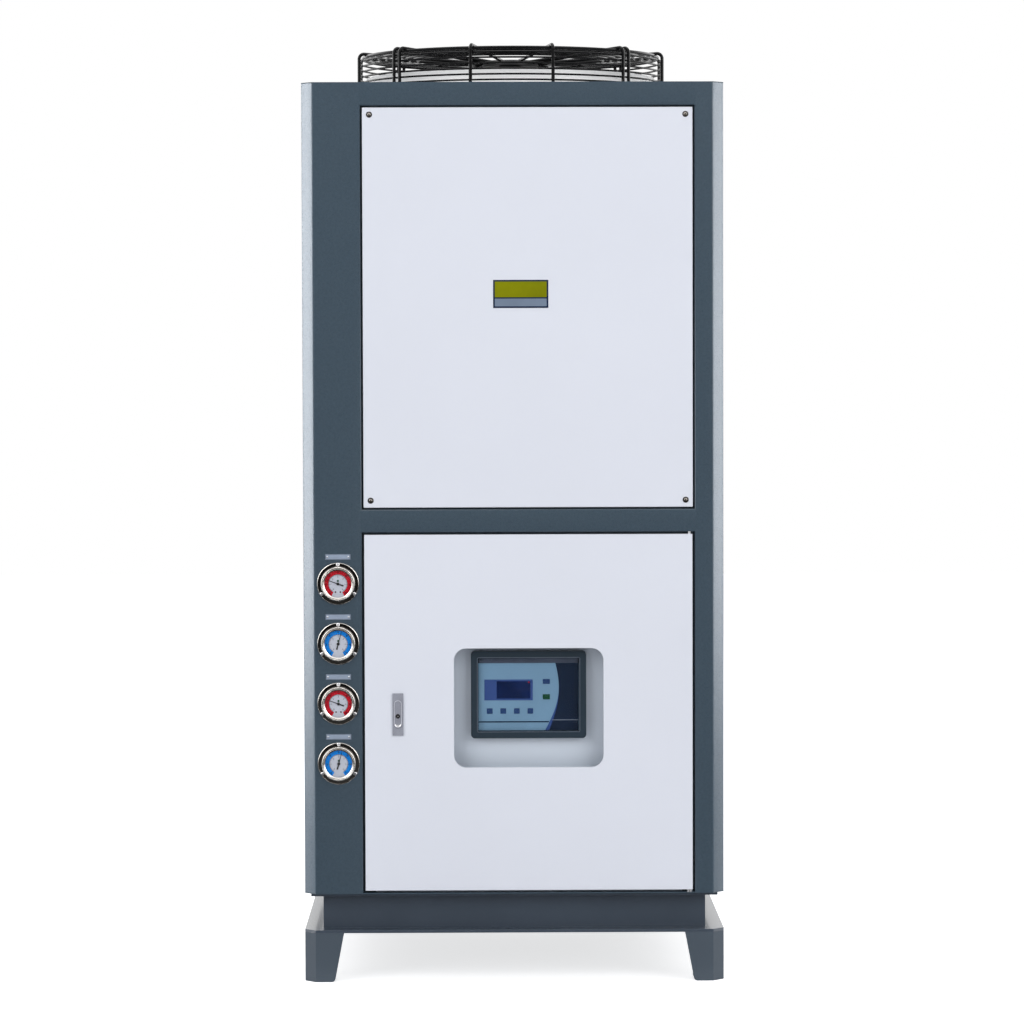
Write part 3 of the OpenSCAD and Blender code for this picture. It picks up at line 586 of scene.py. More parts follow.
fanPlate = {
    "radius": 0.06,
    "cover": 0.002,         # it covers the bars' ends by this, above and below
    "edge": 0.0015,
    "ring": (0.008, 0.025),     # pressed ring, from the edge inwards
    "ringWall": 0.003,
    "ringDepth": 0.0012,
    "bolts": 6,
    "boltHead": 0.005,
    "boltRise": 0.0042,
}


# Middle plate: a flat disc with a pressed ring and the bolts that hold the motor
def guardPlate():
    p = fanPlate
    high = coverTop + guard["height"] - guard["dip"] + p["cover"]
    low = high - 2 * (guard["armWire"] + p["cover"])
    pressed = high - p["ringDepth"]
    r, edge = p["radius"], p["edge"]
    ringOut, ringIn = r - p["ring"][0], r - p["ring"][1]
    disc = turnedPart([(0, low), (r - 0.001, low), (r, low + 0.001), (r, high - edge), (r - edge, high),
                       (ringOut, high), (ringOut - p["ringWall"], pressed), (ringIn + p["ringWall"], pressed),
                       (ringIn, high), (0, high)], 64)
    head, rise = p["boltHead"], p["boltRise"]
    bolt = turnedPart([(0, rise), (head - 0.0008, rise), (head, rise - 0.0006), (head, 0.0)], 6)
    a = np.linspace(0, 2 * math.pi, p["bolts"], endpoint=False)
    reach = 0.5 * (ringOut + ringIn)
    circle = np.column_stack([reach * np.cos(a), reach * np.sin(a), np.full(p["bolts"], pressed)])
    return joinParts([disc, copiesOf(bolt, circle)])


atFan = np.array([0, fanY, 0])
guardPiece = addPiece("fanGuard", movedPart(joinParts(guardParts()), atFan), finishes["guard"],
                      slot="guard_paint", replaces=("fan_guard_rings", "fan_guard_hoops", "fan_guard_arms"))
addPiece("fanGuardPlate", movedPart(guardPlate(), atFan), finishes["gland"], slot="guard_paint", smooth=30)
print("fan guard bent")


# Small shapes

# Box from its lowest to its highest corner
def boxPart(low, high):
    x, y, z = [np.array(pair, dtype=float) for pair in zip(low, high)]
    verts = np.stack(np.meshgrid(x, y, z, indexing="ij"), axis=-1).reshape(-1, 3)
    return verts, [[0, 1, 3, 2], [4, 6, 7, 5], [0, 4, 5, 1], [2, 3, 7, 6], [0, 2, 6, 4], [1, 5, 7, 3]]


# Screw head: a low dome over a disc, less a cross recess with soft walls, and a rim down to the seat
def screwPart(radius, height, cross, around=48, rows=14):
    crown, recess, slotHalf = 0.7, 0.7, 0.24 * cross
    u = np.linspace(0, 1, rows)[:, None]
    a = np.linspace(0, 2 * math.pi, around, endpoint=False)[None]
    x, y = radius * u * np.cos(a), radius * u * np.sin(a)
    dome = height * np.sqrt(1 - crown * u ** 2) + 0 * a

    # 1 inside the half width, 0 outside, with a soft step between them
    def inside(p, half, soft):
        return 1 / (1 + np.exp((np.abs(p) - half) / soft))

    def slot(p, q):
        return inside(p, slotHalf, 0.05 * cross) * inside(q, cross, 0.06 * cross)

    z = dome - recess * height * np.maximum(slot(x, y), slot(y, x))
    points = np.stack([x, y, z], axis=-1)
    skirt = points[-1:].copy()
    skirt[..., 2] = 0
    return gridPart(np.concatenate([points, skirt]), closeV=True)


# Flat band of a ring from angle a0 to a1, in degrees
def bandPart(rIn, rOut, a0, a1, lift, steps=72):
    a = np.radians(np.linspace(a0, a1, steps + 1))[None]
    r = np.array([rIn, rOut])[:, None]
    return gridPart(np.stack([r * np.cos(a), r * np.sin(a), np.full((2, steps + 1), lift)], axis=-1))


# Radial marks: a thin strip from rIn to rOut at each of the angles, in degrees
def marksPart(angles, rIn, rOut, width, lift):
    a = np.radians(np.asarray(angles, dtype=float))[:, None]
    r = np.array([rIn, rOut, rOut, rIn])[None]
    side = np.array([-0.5, -0.5, 0.5, 0.5])[None] * width
    x = r * np.cos(a) - side * np.sin(a)
    y = r * np.sin(a) + side * np.cos(a)
    verts = np.stack([x, y, np.full_like(x, lift)], axis=-1).reshape(-1, 3)
    return verts, np.arange(len(verts)).reshape(-1, 4).tolist()


# Flat disc: one face through a circle of points
def discPart(radius, lift, place, around=24):
    a = np.linspace(0, 2 * math.pi, around, endpoint=False)
    x, y = place[0] + radius * np.cos(a), place[1] + radius * np.sin(a)
    return np.column_stack([x, y, np.full(around, lift)]), [list(range(around))]


# Flat rectangle, lifted off its ground
def rectPart(x0, x1, y0, y1, lift):
    corners = [(x0, y0, lift), (x1, y0, lift), (x1, y1, lift), (x0, y1, lift)]
    return np.array(corners, dtype=float), [[0, 1, 2, 3]]


# Plain number as a flat mesh, centred on the origin
def numberPart(words, size, lift):
    curve = bpy.data.curves.new("number", "FONT")
    curve.body = words
    curve.size = size
    curve.offset = 0.03 * size      # a little bolder
    curve.align_x, curve.align_y = "CENTER", "CENTER"
    holder = bpy.data.objects.new("number", curve)
    mesh = bpy.data.meshes.new_from_object(holder)
    verts = np.empty(3 * len(mesh.vertices))
    mesh.vertices.foreach_get("co", verts)
    faces = [list(p.vertices) for p in mesh.polygons]
    bpy.data.objects.remove(holder)
    bpy.data.meshes.remove(mesh)
    bpy.data.curves.remove(curve)
    return verts.reshape(-1, 3) + np.array([0, 0, lift]), faces


# Printed ink: a thin coat of paint with little gloss
def inkMaterial(name, tone, drift=0.08, driftScale=40, rough=0.42, specular=0.15):
    return paintMaterial(name, tone, rough, 900, 0.04, 0.0001, drift, specular, driftScale)


# Flat print on the front at one or several places
def addPrint(name, part, places, ink, slot):
    addPiece(name, onFront(part, places), inks[ink], slot=slot, facing=frontWards)


inks = {
    "red": inkMaterial("redInk", (0.64, 0.004, 0.02)),
    "blue": inkMaterial("blueInk", (0.001, 0.27, 0.9)),
    "black": inkMaterial("blackInk", (0.012, 0.012, 0.02)),
    "maroon": inkMaterial("maroonInk", (0.07, 0.006, 0.012)),
    "grey": inkMaterial("greyInk", (0.12, 0.13, 0.16)),
    "green": inkMaterial("greenInk", (0.008, 0.085, 0.035)),
    "navy": inkMaterial("navyInk", (0.006, 0.0175, 0.052), 0.12, 30),
    # painted light: grey ink for the housing's inner shelf above the keypad, lighter than the black housing's
    # own tone
    "shelfLight": inkMaterial("shelfLightInk", (0.1, 0.12, 0.175), 0.15, 20),
    "stripe": inkMaterial("stripeInk", (0.05, 0.11, 0.38), 0.08, 30),
    "block": inkMaterial("blockInk", (0.055, 0.112, 0.37), 0.08, 30),
    "key": inkMaterial("keyInk", (0.032, 0.08, 0.24), 0.1, 60),
    "display": inkMaterial("displayGlass", (0.004, 0.016, 0.095), 0.25, 25, 0.12, 0.3),
    "plate": inkMaterial("platePrint", (0.29, 0.35, 0.45), 0.06, 30, 0.4, 0.3),
    "plateEdge": inkMaterial("plateEdging", (0.17, 0.205, 0.265), 0.06, 30, 0.4, 0.3),
    "slate": inkMaterial("slateFilm", (0.17, 0.22, 0.3), 0.06, 30, 0.4, 0.3),
    "yellow": inkMaterial("yellowFilm", (0.215, 0.225, 0.002), 0.14, 20, 0.38, 0.08),
}


# Pressure gauges

gauge = {
    "flange": 0.0425,
    "bezel": 0.0343,
    "bore": 0.0312,
    "depth": 0.013,
    "seat": 0.0042,             # the bezel stands on the flange here
    "edgeRoll": 0.0009,
    "sweepUp": 0.0008,          # hollow from the flange to the bezel
    "crest": (0.0016, 0.0018),  # half width and height of the bezel's crest
    "screw": (0.0036, 0.0019, 0.0019),      # radius, height, cross
    "screwCircle": 0.039,
    "screwAngles": (90, 212, 328),
    "screwSeat": 0.002,
    "around": 72,
}
caseLow, caseHigh = boxOf("gauge_cases")
gaugeX = 0.5 * (caseLow[0] + caseHigh[0])
gaugeZ = np.linspace(caseHigh[2] - gauge["flange"], caseLow[2] + gauge["flange"], 4)
gaugePlaces = [(gaugeX, faceY, z) for z in gaugeZ]
redPlaces, bluePlaces = gaugePlaces[0::2], gaugePlaces[1::2]

# flange: flat with a rolled edge and a hollow sweep up to the bezel
bend = np.linspace(0, math.pi / 2, 6)
rimOut, rimIn, bore, seat = gauge["flange"], gauge["bezel"], gauge["bore"], gauge["seat"]
roll, sweep = gauge["edgeRoll"], gauge["sweepUp"]
flangeProfile = [(bore, 0.0), (rimOut - 0.0006, 0.0), (rimOut, 0.0006)]
flangeProfile += [(rimOut - roll + roll * math.cos(t), 0.0011 + roll * math.sin(t)) for t in bend]
flangeProfile += [(rimOut - 0.0012, 0.00198), (rimIn + 0.0012, 0.0025)]
flangeProfile += [(rimIn + sweep - sweep * math.sin(t), 0.0033 - sweep * math.cos(t)) for t in bend]
flangeProfile += [(rimIn, seat + 0.0004), (bore, seat + 0.0004), (bore, 0.0)]
flange = turnedPart(flangeProfile, gauge["around"])
addPiece("gaugeFlanges", onFront(flange, gaugePlaces), finishes["chrome"], slot="gauge_chrome",
         replaces=("gauge_cases",), smooth=40)

# bezel: a wall up to a round crest, a groove and a lip that holds the glass, (radius, below the top)
depth, (crestW, crestH) = gauge["depth"], gauge["crest"]
wall = bore - 0.0001
bezelProfile = [(wall, seat), (rimIn, seat)]
bezelProfile += [(rimIn - crestW + crestW * math.cos(t), depth - crestH + crestH * math.sin(t))
                 for t in np.linspace(0, math.pi, 11)]
bezelProfile += [(r, depth - below) for r, below in (
    (0.0309, 0.0018), (0.0305, 0.0006), (0.0302, 0.0005), (0.0298, 0.0007), (0.0279, 0.0017),
    (0.0276, 0.0019), (wall, 0.0019), (wall, depth - seat))]
# painted highlight: a ring of the bezel's silver on the flange's rolled edge stands for the edge's glint
flangeEdgeGlint = ringPart(rimOut - 0.0005, 0.0016, 0.0006, gauge["around"], 8)
bezelRing = joinParts([turnedPart(bezelProfile, gauge["around"]), flangeEdgeGlint])
addPiece("gaugeBezels", onFront(bezelRing, gaugePlaces), finishes["bezel"], slot="gauge_chrome", smooth=40)

screwTurns = np.radians(gauge["screwAngles"])
headSpots = gauge["screwCircle"] * np.column_stack([np.cos(screwTurns), np.sin(screwTurns), 0 * screwTurns])
heads = copiesOf(screwPart(*gauge["screw"], 32, 10), headSpots + np.array([0, 0, gauge["screwSeat"]]))
addPiece("gaugeScrews", onFront(heads, gaugePlaces), finishes["bright"], slot="hinge_steel")

dial = {
    "sweep": (-62, 242),        # coloured scale, in degrees
    "ends": 12,                 # first and last mark from its ends
    "ring": (0.0193, 0.0287),
    "line": (0.0185, 0.0190),
    "marks": (7, 61),           # major, minor
    "ringTicks": ((0.0191, 0.0207, 0.0007), (0.0191, 0.0199, 0.00035)),     # from, to, width
    "innerTicks": ((0.0162, 0.0185, 0.0006), (0.0172, 0.0185, 0.00035)),
    "ringNumbers": (0.0048, 0.0238),        # size, reach
    "innerNumbers": (0.0036, 0.0142),
    "greenDot": (0.0021, 0.0062),           # radius, above the middle
    "redDots": (0.0017, -0.0165, 0.005),    # and to each side
    "print": 0.0002,            # thickness of a coat of print
}
inkLift = faceY - boxOf("gauge_dials")[0][1] + dial["print"]
markLift = inkLift + dial["print"]
lowSweep, highSweep = dial["sweep"]
colourRing = bandPart(*dial["ring"], lowSweep, highSweep, inkLift)
addPrint("redScales", colourRing, redPlaces, "red", "dial_face")
addPrint("blueScales", colourRing, bluePlaces, "blue", "dial_face")

majors, minors = [np.linspace(highSweep - dial["ends"], lowSweep + dial["ends"], n) for n in dial["marks"]]


# Major and minor marks of one scale
def ticksOf(kind, lift):
    major, minor = dial[kind]
    return [marksPart(majors, *major, lift), marksPart(minors, *minor, lift)]


# Numbers from 0 up by a step, set out on a circle at the major marks
def numbersOn(step, size, reach, lift):
    spots = [(reach * math.cos(a), reach * math.sin(a), 0) for a in np.radians(majors)]
    return joinParts([movedPart(numberPart(str(k * step), size, lift), spot) for k, spot in enumerate(spots)])


ringTicks, ringNumbers = ticksOf("ringTicks", markLift), dial["ringNumbers"]
redSet, blueSet = [joinParts(ringTicks + [numbersOn(step, *ringNumbers, markLift)]) for step in (5, 2)]
darkMarks = [toFront(part, p) for part, p in zip((redSet, blueSet) * 2, gaugePlaces)]
addPiece("scaleMarks", joinParts(darkMarks), inks["black"], slot="dial_face", facing=frontWards)
greyMarks = joinParts(ticksOf("innerTicks", inkLift) + [
    bandPart(*dial["line"], lowSweep, highSweep, inkLift),
    numbersOn(1, *dial["innerNumbers"], inkLift),
])
addPrint("dialMarks", greyMarks, gaugePlaces, "grey", "dial_face")
dotRadius, dotUp = dial["greenDot"]
addPrint("dialGreenDots", discPart(dotRadius, inkLift, (0, dotUp)), gaugePlaces, "green", "dial_face")
dotRadius, dotUp, aside = dial["redDots"]
redDots = joinParts([discPart(dotRadius, inkLift, (x, dotUp)) for x in (-aside, aside)])
addPrint("dialRedDots", redDots, redPlaces, "maroon", "dial_face")

gaugePlate = {
    "size": (0.0515, 0.0118),
    "rise": 0.0545,             # above the gauge's middle
    "thick": 0.0011,
    "border": 0.0017,
    "rivets": 0.0212,           # to each side
}
plateW, plateH = gaugePlate["size"]
platePlaces = [(x, y, z + gaugePlate["rise"]) for x, y, z in gaugePlaces]
plateBack = platePart(plateW, plateH, 0.0008, softEdge(gaugePlate["thick"], 0.0005), steps=4)
addPiece("gaugePlates", onFront(plateBack, platePlaces), inks["plateEdge"], slot="dial_face")
faceSize = (plateW - 2 * gaugePlate["border"], plateH - 2 * gaugePlate["border"])
plateFace = movedPart(platePart(*faceSize, 0.0012, softEdge(0.0004, 0.0003), steps=4), (0, 0, 0.001))
addPiece("gaugePlateFaces", onFront(plateFace, platePlaces), inks["plate"], slot="dial_face")
rivet = turnedPart([(0, 0.0009), (0.001, 0.0008), (0.0017, 0.0003), (0.0018, 0)], 20)
rivets = copiesOf(rivet, [(x, 0, 0.0013) for x in (-gaugePlate["rivets"], gaugePlate["rivets"])])
addPiece("gaugePlateRivets", onFront(rivets, platePlaces), finishes["zinc"], slot="hinge_steel")
print("gauges dressed")


# Panel screws

panelScrew = {
    "head": (0.0034, 0.0024, 0.002),    # radius, height, cross
    "washer": (0.0062, 0.0008),         # radius, thickness
    "inset": 0.0145,
    "panels": {"upper_front_panel": 0, "lower_right_panel": 1, "upper_rear_panel": 2,
               "lower_rear_panel": 2, "lower_left_panel": 3},     # quarter turns from the front
}
r, thick = panelScrew["washer"]
washerPart = turnedPart([(0.0, thick), (r - 0.0004, thick), (r, thick - 0.0004), (r, 0)], 32)
screwHead = movedPart(screwPart(*panelScrew["head"]), (0, 0, thick))


# Screw places of a panel, as it would stand on the front: its corners moved in by the inset
def cornersOf(name, quarters):
    low, high = boxOf(name)
    if quarters % 2:
        u0, u1 = low[1] - fanY, high[1] - fanY
    else:
        u0, u1 = low[0], high[0]
    outer = (faceY - low[1], high[0] - sideX, high[1] - rearY, -sideX - low[0])[quarters]
    d = panelScrew["inset"]
    return [(u, faceY - outer, z) for u in (u0 + d, u1 - d) for z in (low[2] + d, high[2] - d)]


washers, screws = [], []
for name, quarters in panelScrew["panels"].items():
    for spot in cornersOf(name, quarters):
        washers.append(quarterTurn(toFront(washerPart, spot), quarters))
        screws.append(quarterTurn(toFront(screwHead, spot), quarters))
addPiece("panelScrews", joinParts(screws), finishes["chrome"], slot="hinge_steel")
addPiece("panelWashers", joinParts(washers), finishes["screw"], slot="hinge_steel")
print("panel screws:", len(screws))


# Plain plate on the upper panel: two fields in a dark frame

plain = {
    "centre": (0.0159, 1.3992),
    "size": (0.1117, 0.0568),
    "thick": 0.0005,
    "border": 0.0034,
    "split": (0.0190, 0.0218),      # bar between the fields, from the lower edge
}
plainAt = (plain["centre"][0], boxOf("upper_front_panel")[0][1], plain["centre"][1])
framePlate = platePart(*plain["size"], 0.0006, softEdge(plain["thick"], 0.0002, 2), steps=3)
addPiece("plainPlate", toFront(framePlate, plainAt), inks["navy"], slot="keypad_film")
w, h, b = plain["size"][0] / 2, plain["size"][1] / 2, plain["border"]
low, high = plain["split"]
for name, y0, y1, ink in (("plainPlateUpper", high - h, h - b, "yellow"),
                          ("plainPlateLower", b - h, low - h, "slate")):
    addPrint(name, rectPart(b - w, w - b, y0, y1, plain["thick"] + 0.0001), [plainAt], ink, "keypad_film")


# Controller face: printed fields and keys in places given as shares of the keypad's width and height

keypadAt, keyHigh = boxOf("controller_keypad")
keyW, keyH = keyHigh[0] - keypadAt[0], keyHigh[2] - keypadAt[2]
controller = {
    "edge": [(0.0, 0.768), (0.15, 0.79), (0.3, 0.803), (0.46, 0.8), (0.6, 0.79), (0.72, 0.772),
             (0.85, 0.742), (1.0, 0.705)],
    "stripe": [(0.0, 0.768), (0.15, 0.79), (0.3, 0.803), (0.46, 0.798), (0.6, 0.781), (0.72, 0.755),
               (0.85, 0.717), (1.0, 0.665)],
    "rightEdge": 0.998,
    # painted light strip over the black housing above the keypad
    "shelfLight": (0.004, 0.996, -0.085, -0.004),       # left, right, top, bottom
    "darkLine": (0.003, 0.705, 0.865, 0.884),
    "paleLine": (0.735, 0.998, 0.842, 0.852),
    "block": (0.059, 0.543, 0.243, 0.554),
    "display": (0.182, 0.519, 0.269, 0.528),
    "keys": [(0.082, 0.141), (0.218, 0.276), (0.354, 0.411), (0.49, 0.546)],
    "keyRows": (0.672, 0.754),
    "sideKey": (0.642, 0.714, 0.238, 0.311),
    "greenKey": (0.642, 0.714, 0.465, 0.542),
    "keyRise": 0.0009,
    "lamp": (0.503, 0.285),
}


# Flat rectangle in shares of the keypad: left and right, then top and bottom
def shareRect(x0, x1, y0, y1, lift):
    return rectPart(x0 * keyW, x1 * keyW, (1 - y1) * keyH, (1 - y0) * keyH, lift)


# Field between two edges that run down the face: rows of (left, right) drawn through a smooth curve
def fieldPart(left, right, lift, rows=40):
    t = np.linspace(0, 1, rows)
    x = np.stack([left(t), right(t)], axis=1) * keyW
    y = np.repeat(((1 - t) * keyH)[:, None], 2, axis=1)
    return gridPart(np.stack([x, y, np.full_like(x, lift)], axis=-1))


# Smooth edge: a fourth power curve fitted through the given (row, column) pairs
def edgeCurve(pairs):
    rows, columns = np.array(pairs).T
    return np.poly1d(np.polyfit(rows, columns, 4))


# Straight edge at the right of the printed field
def rightEdge(t):
    return np.full_like(t, controller["rightEdge"])


# Key: a plate with a soft edge on a rectangle given in the same shares
def keyPart(x0, x1, y0, y1):
    size = ((x1 - x0) * keyW, (y1 - y0) * keyH)
    centre = (0.5 * (x0 + x1) * keyW, (1 - 0.5 * (y0 + y1)) * keyH, 0)
    return movedPart(platePart(*size, 0.0008, softEdge(controller["keyRise"], 0.0004), steps=4), centre)


# prints lie in three coats, each over the last
firstCoat, secondCoat, lastCoat = 0.0003, 0.0004, 0.0006
navyEdge, stripeEdge = edgeCurve(controller["edge"]), edgeCurve(controller["stripe"])
prints = {
    "keypadNavyField": (fieldPart(navyEdge, rightEdge, firstCoat), "navy", "keypad_film"),
    "keypadStripe": (fieldPart(stripeEdge, navyEdge, firstCoat), "stripe", "keypad_film"),
    "keypadDarkLine": (shareRect(*controller["darkLine"], secondCoat), "navy", "keypad_film"),
    # painted light: a grey strip stands for the lit inner shelf of the black housing
    "keypadShelfLight": (shareRect(*controller["shelfLight"], firstCoat), "shelfLight", "housing_plastic"),
    "keypadPaleLine": (shareRect(*controller["paleLine"], lastCoat), "plate", "keypad_film"),
    "keypadBlock": (shareRect(*controller["block"], secondCoat), "block", "keypad_film"),
}
for name, (part, ink, slot) in prints.items():
    addPrint(name, part, [keypadAt], ink, slot)
smallKeys = [keyPart(a, b, *controller["keyRows"]) for a, b in controller["keys"]]
smallKeys.append(keyPart(*controller["sideKey"]))
lampX, lampY = controller["lamp"]
lamp = movedPart(turnedPart([(0, 0.0012), (0.001, 0.001), (0.0015, 0.0004), (0.0016, 0)], 20),
                 (lampX * keyW, (1 - lampY) * keyH, controller["keyRise"]))
raised = {
    "keypadDisplay": (keyPart(*controller["display"]), "display"),
    "keypadKeys": (joinParts(smallKeys), "key"),
    "keypadGreenKey": (keyPart(*controller["greenKey"]), "green"),
    "keypadLamp": (lamp, "red"),
}
for name, (part, ink) in raised.items():
    addPiece(name, toFront(part, keypadAt), inks[ink], slot="keypad_film")

# painted highlight: a thin grey strip round the clear window stands for the light its cut edge catches
windowEdgeGlint = {"inset": 0.0003, "width": 0.0008, "rise": 0.0003, "corner": 0.003}
windowLow, windowHigh = boxOf("controller_window")
windowW, _, windowH = windowHigh - windowLow
windowAt = (0.5 * (windowLow[0] + windowHigh[0]), windowLow[1], 0.5 * (windowLow[2] + windowHigh[2]))
inset, rise = windowEdgeGlint["inset"], windowEdgeGlint["rise"]
inner = inset + windowEdgeGlint["width"]
cutLoop = [(inset, 0), (inset, rise), (inner, rise), (inner, 0)]
cutEdge = framePart(windowW, windowH, windowEdgeGlint["corner"], cutLoop)
addPiece("windowEdgeGlint", toFront(cutEdge, windowAt), inks["plateEdge"], slot="clear_window")
print("controller face printed")


# Door lock: a sunk pull in a rim painted lighter than the lock as its highlight, with a scoop at its lower
# end and a key barrel

lock = {
    "size": (0.016, 0.0557),
    "lift": 0.0012,         # above the middle of its plate
    "rim": 0.0015,
    "rise": 0.0019,
    "floor": 0.0004,
    "ribs": (3, -0.0118, -0.0025),      # how many, first, step
    "ribSize": (0.009, 0.0012),
    "scoop": (195, 345),    # degrees of the rim's arc
    "barrel": 0.0047,
    "barrelDrop": 0.0046,
}
plateLow, plateHigh = boxOf("door_lock_plate")
middle = 0.5 * (plateLow + plateHigh)
lockAt = (middle[0], plateLow[1], middle[2] + lock["lift"])
lockW, lockH = lock["size"]
endRadius = 0.5 * lockW - 0.0001
pullEdge = [(0, 0), (0.0001, lock["floor"])]
pull = platePart(lockW - 0.001, lockH - 0.001, endRadius - 0.0005, pullEdge, steps=12)
ribCount, ribFirst, ribStep = lock["ribs"]
ribs = copiesOf(platePart(*lock["ribSize"], 0.0005, softEdge(0.0011, 0.0004), steps=3),
                [(0, ribFirst + ribStep * k, 0.0002) for k in range(ribCount)])
rim, rise = lock["rim"], lock["rise"]
rimLoop = [(0, 0), (0, 0.0012), (0.0005, rise), (rim - 0.0004, rise), (rim, 0.0014), (rim, 0)]
rimFrame = framePart(lockW, lockH, endRadius, rimLoop, steps=12)


# Scoop: from the rim's lower arc up to a flatter arc on the floor of the pull
def scoopPart(rows=8, columns=24):
    a = np.radians(np.linspace(*lock["scoop"], columns))[None]
    v = np.linspace(0, 1, rows)[:, None]
    reach = endRadius - lock["rim"]
    high, low = 0.0015, lock["floor"] + 0.0002
    x = reach * np.cos(a) * (1 - 0.06 * v)
    y = reach * np.sin(a) * (1 - 0.62 * v) - 0.5 * lockH + endRadius
    z = high + (low - high) * v ** 0.8 + 0 * a
    return gridPart(np.stack([x, y, z], axis=-1))


# Piece of the lock, which goes with the door
def addLockPiece(name, part, place, finish, **options):
    addPiece(name, toFront(part, place), finishes[finish], body="door", slot="lock_chrome", **options)


addLockPiece("lockPull", joinParts([pull, ribs]), lockAt, "lock", replaces=("door_lock_handle",), smooth=40)
addLockPiece("lockRim", rimFrame, lockAt, "lockRim", smooth=40)
addLockPiece("lockScoop", scoopPart(), lockAt, "bright", facing=(0, -1, 0.2), smooth=40)
r = lock["barrel"]
barrel = turnedPart([(0, 0.0012), (0.0012, 0.0012), (0.0016, 0.0015), (r - 0.0008, 0.0016),
                     (r - 0.0002, 0.0013), (r, 0.0004), (r, 0)], 36)
keyPin = turnedPart([(0, 0.0018), (0.0008, 0.0017), (0.0012, 0.0012), (0.0012, 0.001)], 20)
keyAt = (lockAt[0], lockAt[1], lockAt[2] - lock["barrelDrop"])
addLockPiece("lockBarrel", barrel, keyAt, "needle")
addLockPiece("lockKeyPin", keyPin, keyAt, "bright")
print("lock finished")


# Condenser coils: thin waved fins, upright, with two rows of level tubes in their collars

coil = {
    "pitch": 0.0026,        # from fin to fin
    "fin": 0.0006,
    "wave": 0.0009,
    "waveLength": 0.022,
    "waveSteps": 19,
    "tube": 0.0052,
    "tubeDepth": 0.011,     # from the outer and the inner face
    "endSheet": 0.0015,
    "endGap": 0.003,        # no fin closer to an end than this
}


# Fin: a wave, y = height of the wave times the sine of the way in, with a thickness, carried up the coil
def finPart(low, high):
    c = coil
    x = np.linspace(low[0], high[0], c["waveSteps"])
    y = c["wave"] * np.sin(2 * math.pi * (x - x[0]) / c["waveLength"])
    near, far = [np.column_stack([x, y + side * c["fin"] / 2]) for side in (-1, 1)]
    loop = np.concatenate([near, far[::-1]])
    points = np.stack([np.column_stack([loop, np.full(len(loop), z)]) for z in (low[2], high[2])])
    return closedPart(points)


for name in ("left_condenser_coil", "right_condenser_coil"):
    low, high = boxOf(name)
    side = name.split("_")[0]
    pitch, rowPitch, first = coil["pitch"], coilRows["pitch"], coilRows["first"]
    count = int((high[1] - low[1] - 2 * coil["endGap"]) / pitch)
    startY = 0.5 * (low[1] + high[1]) - 0.5 * (count - 1) * pitch
    finSpots = np.column_stack([np.zeros(count), startY + pitch * np.arange(count), np.zeros(count)])
    nearEnd = boxPart(low, (high[0], low[1] + coil["endSheet"], high[2]))
    farEnd = boxPart((low[0], high[1] - coil["endSheet"], low[2]), high)
    block = joinParts([copiesOf(finPart(low, high), finSpots), nearEnd, farEnd])
    addPiece(side + "CoilFins", block, finishes["fins"], slot="coil_fins", replaces=(name,))
    tubeVerts, tubeFaces = turnedPart([(coil["tube"], low[1] + 0.001), (coil["tube"], high[1] - 0.001)], 16)
    level = (tubeVerts[:, [0, 2, 1]], tubeFaces)
    rows = np.arange(low[2] + first, high[2] - first, rowPitch)
    spots = [(x, 0, z + rise) for x, rise in ((low[0] + coil["tubeDepth"], 0),
                                              (high[0] - coil["tubeDepth"], 0.5 * rowPitch)) for z in rows]
    addPiece(side + "CoilTubes", copiesOf(level, spots), finishes["tubeCollar"], slot="coil_fins")
print("coils finned")


# Floor, lights and camera

# What the camera sees straight, in a polished surface or through a clear one
def seenDirectly(tree):
    path = tree.nodes.new("ShaderNodeLightPath")
    first = tree.nodes.new("ShaderNodeMath")
    both = tree.nodes.new("ShaderNodeMath")
    first.operation = both.operation = "MAXIMUM"
    tree.links.new(path.outputs["Is Camera Ray"], first.inputs[0])
    tree.links.new(path.outputs["Is Glossy Ray"], first.inputs[1])
    tree.links.new(first.outputs[0], both.inputs[0])
    tree.links.new(path.outputs["Is Transmission Ray"], both.inputs[1])
    return both.outputs[0]


def addStage(name, verts, faces, material):
    mesh = bpy.data.meshes.new(name)
    mesh.from_pydata(verts, [], faces)
    mesh.materials.append(material)
    obj = bpy.data.objects.new(name, mesh)
    bpy.context.scene.collection.objects.link(obj)
    return obj


studio = {
    "floor": 14.0,
    "floorTones": ((0.81, 0.81, 0.82), (0.83, 0.83, 0.84)),
    "floorGlow": 0.7,
    "sky": 0.38,
    "skyTone": (0.95, 0.97, 1.0, 1),
    "stripTone": (0.92, 0.955, 1.0),
    "cloth": {"half": 6, "near": -0.52, "far": -9.5, "lift": 0.004, "height": 4.5},
    "card": {"x": (0.25, 3.2), "far": -9.4, "z": (0.55, 3.0)},
}
floorPaint, floorTree, floorShader, floorCoord = startMaterial("paleFloor")
floorNoise = noiseNode(floorTree, floorCoord, 2.0, 2.0)
floorRamp = rampNode(floorTree, floorNoise.outputs["Fac"], *studio["floorTones"])
floorTree.links.new(floorRamp.outputs["Color"], floorShader.inputs["Base Color"])
floorShader.inputs["Roughness"].default_value = 0.9
floorShader.inputs["Specular IOR Level"].default_value = 0.0
floorShader.inputs["Emission Color"].default_value = (1, 1, 1, 1)
glow = floorTree.nodes.new("ShaderNodeMath")
glow.operation = "MULTIPLY"
glow.inputs[1].default_value = studio["floorGlow"]
floorTree.links.new(seenDirectly(floorTree), glow.inputs[0])
floorTree.links.new(glow.outputs[0], floorShader.inputs["Emission Strength"])
f = studio["floor"]
addStage("studioFloor", [(-f, -f, 0), (f, -f, 0), (f, f, 0), (-f, f, 0)], [[0, 1, 2, 3]], floorPaint)

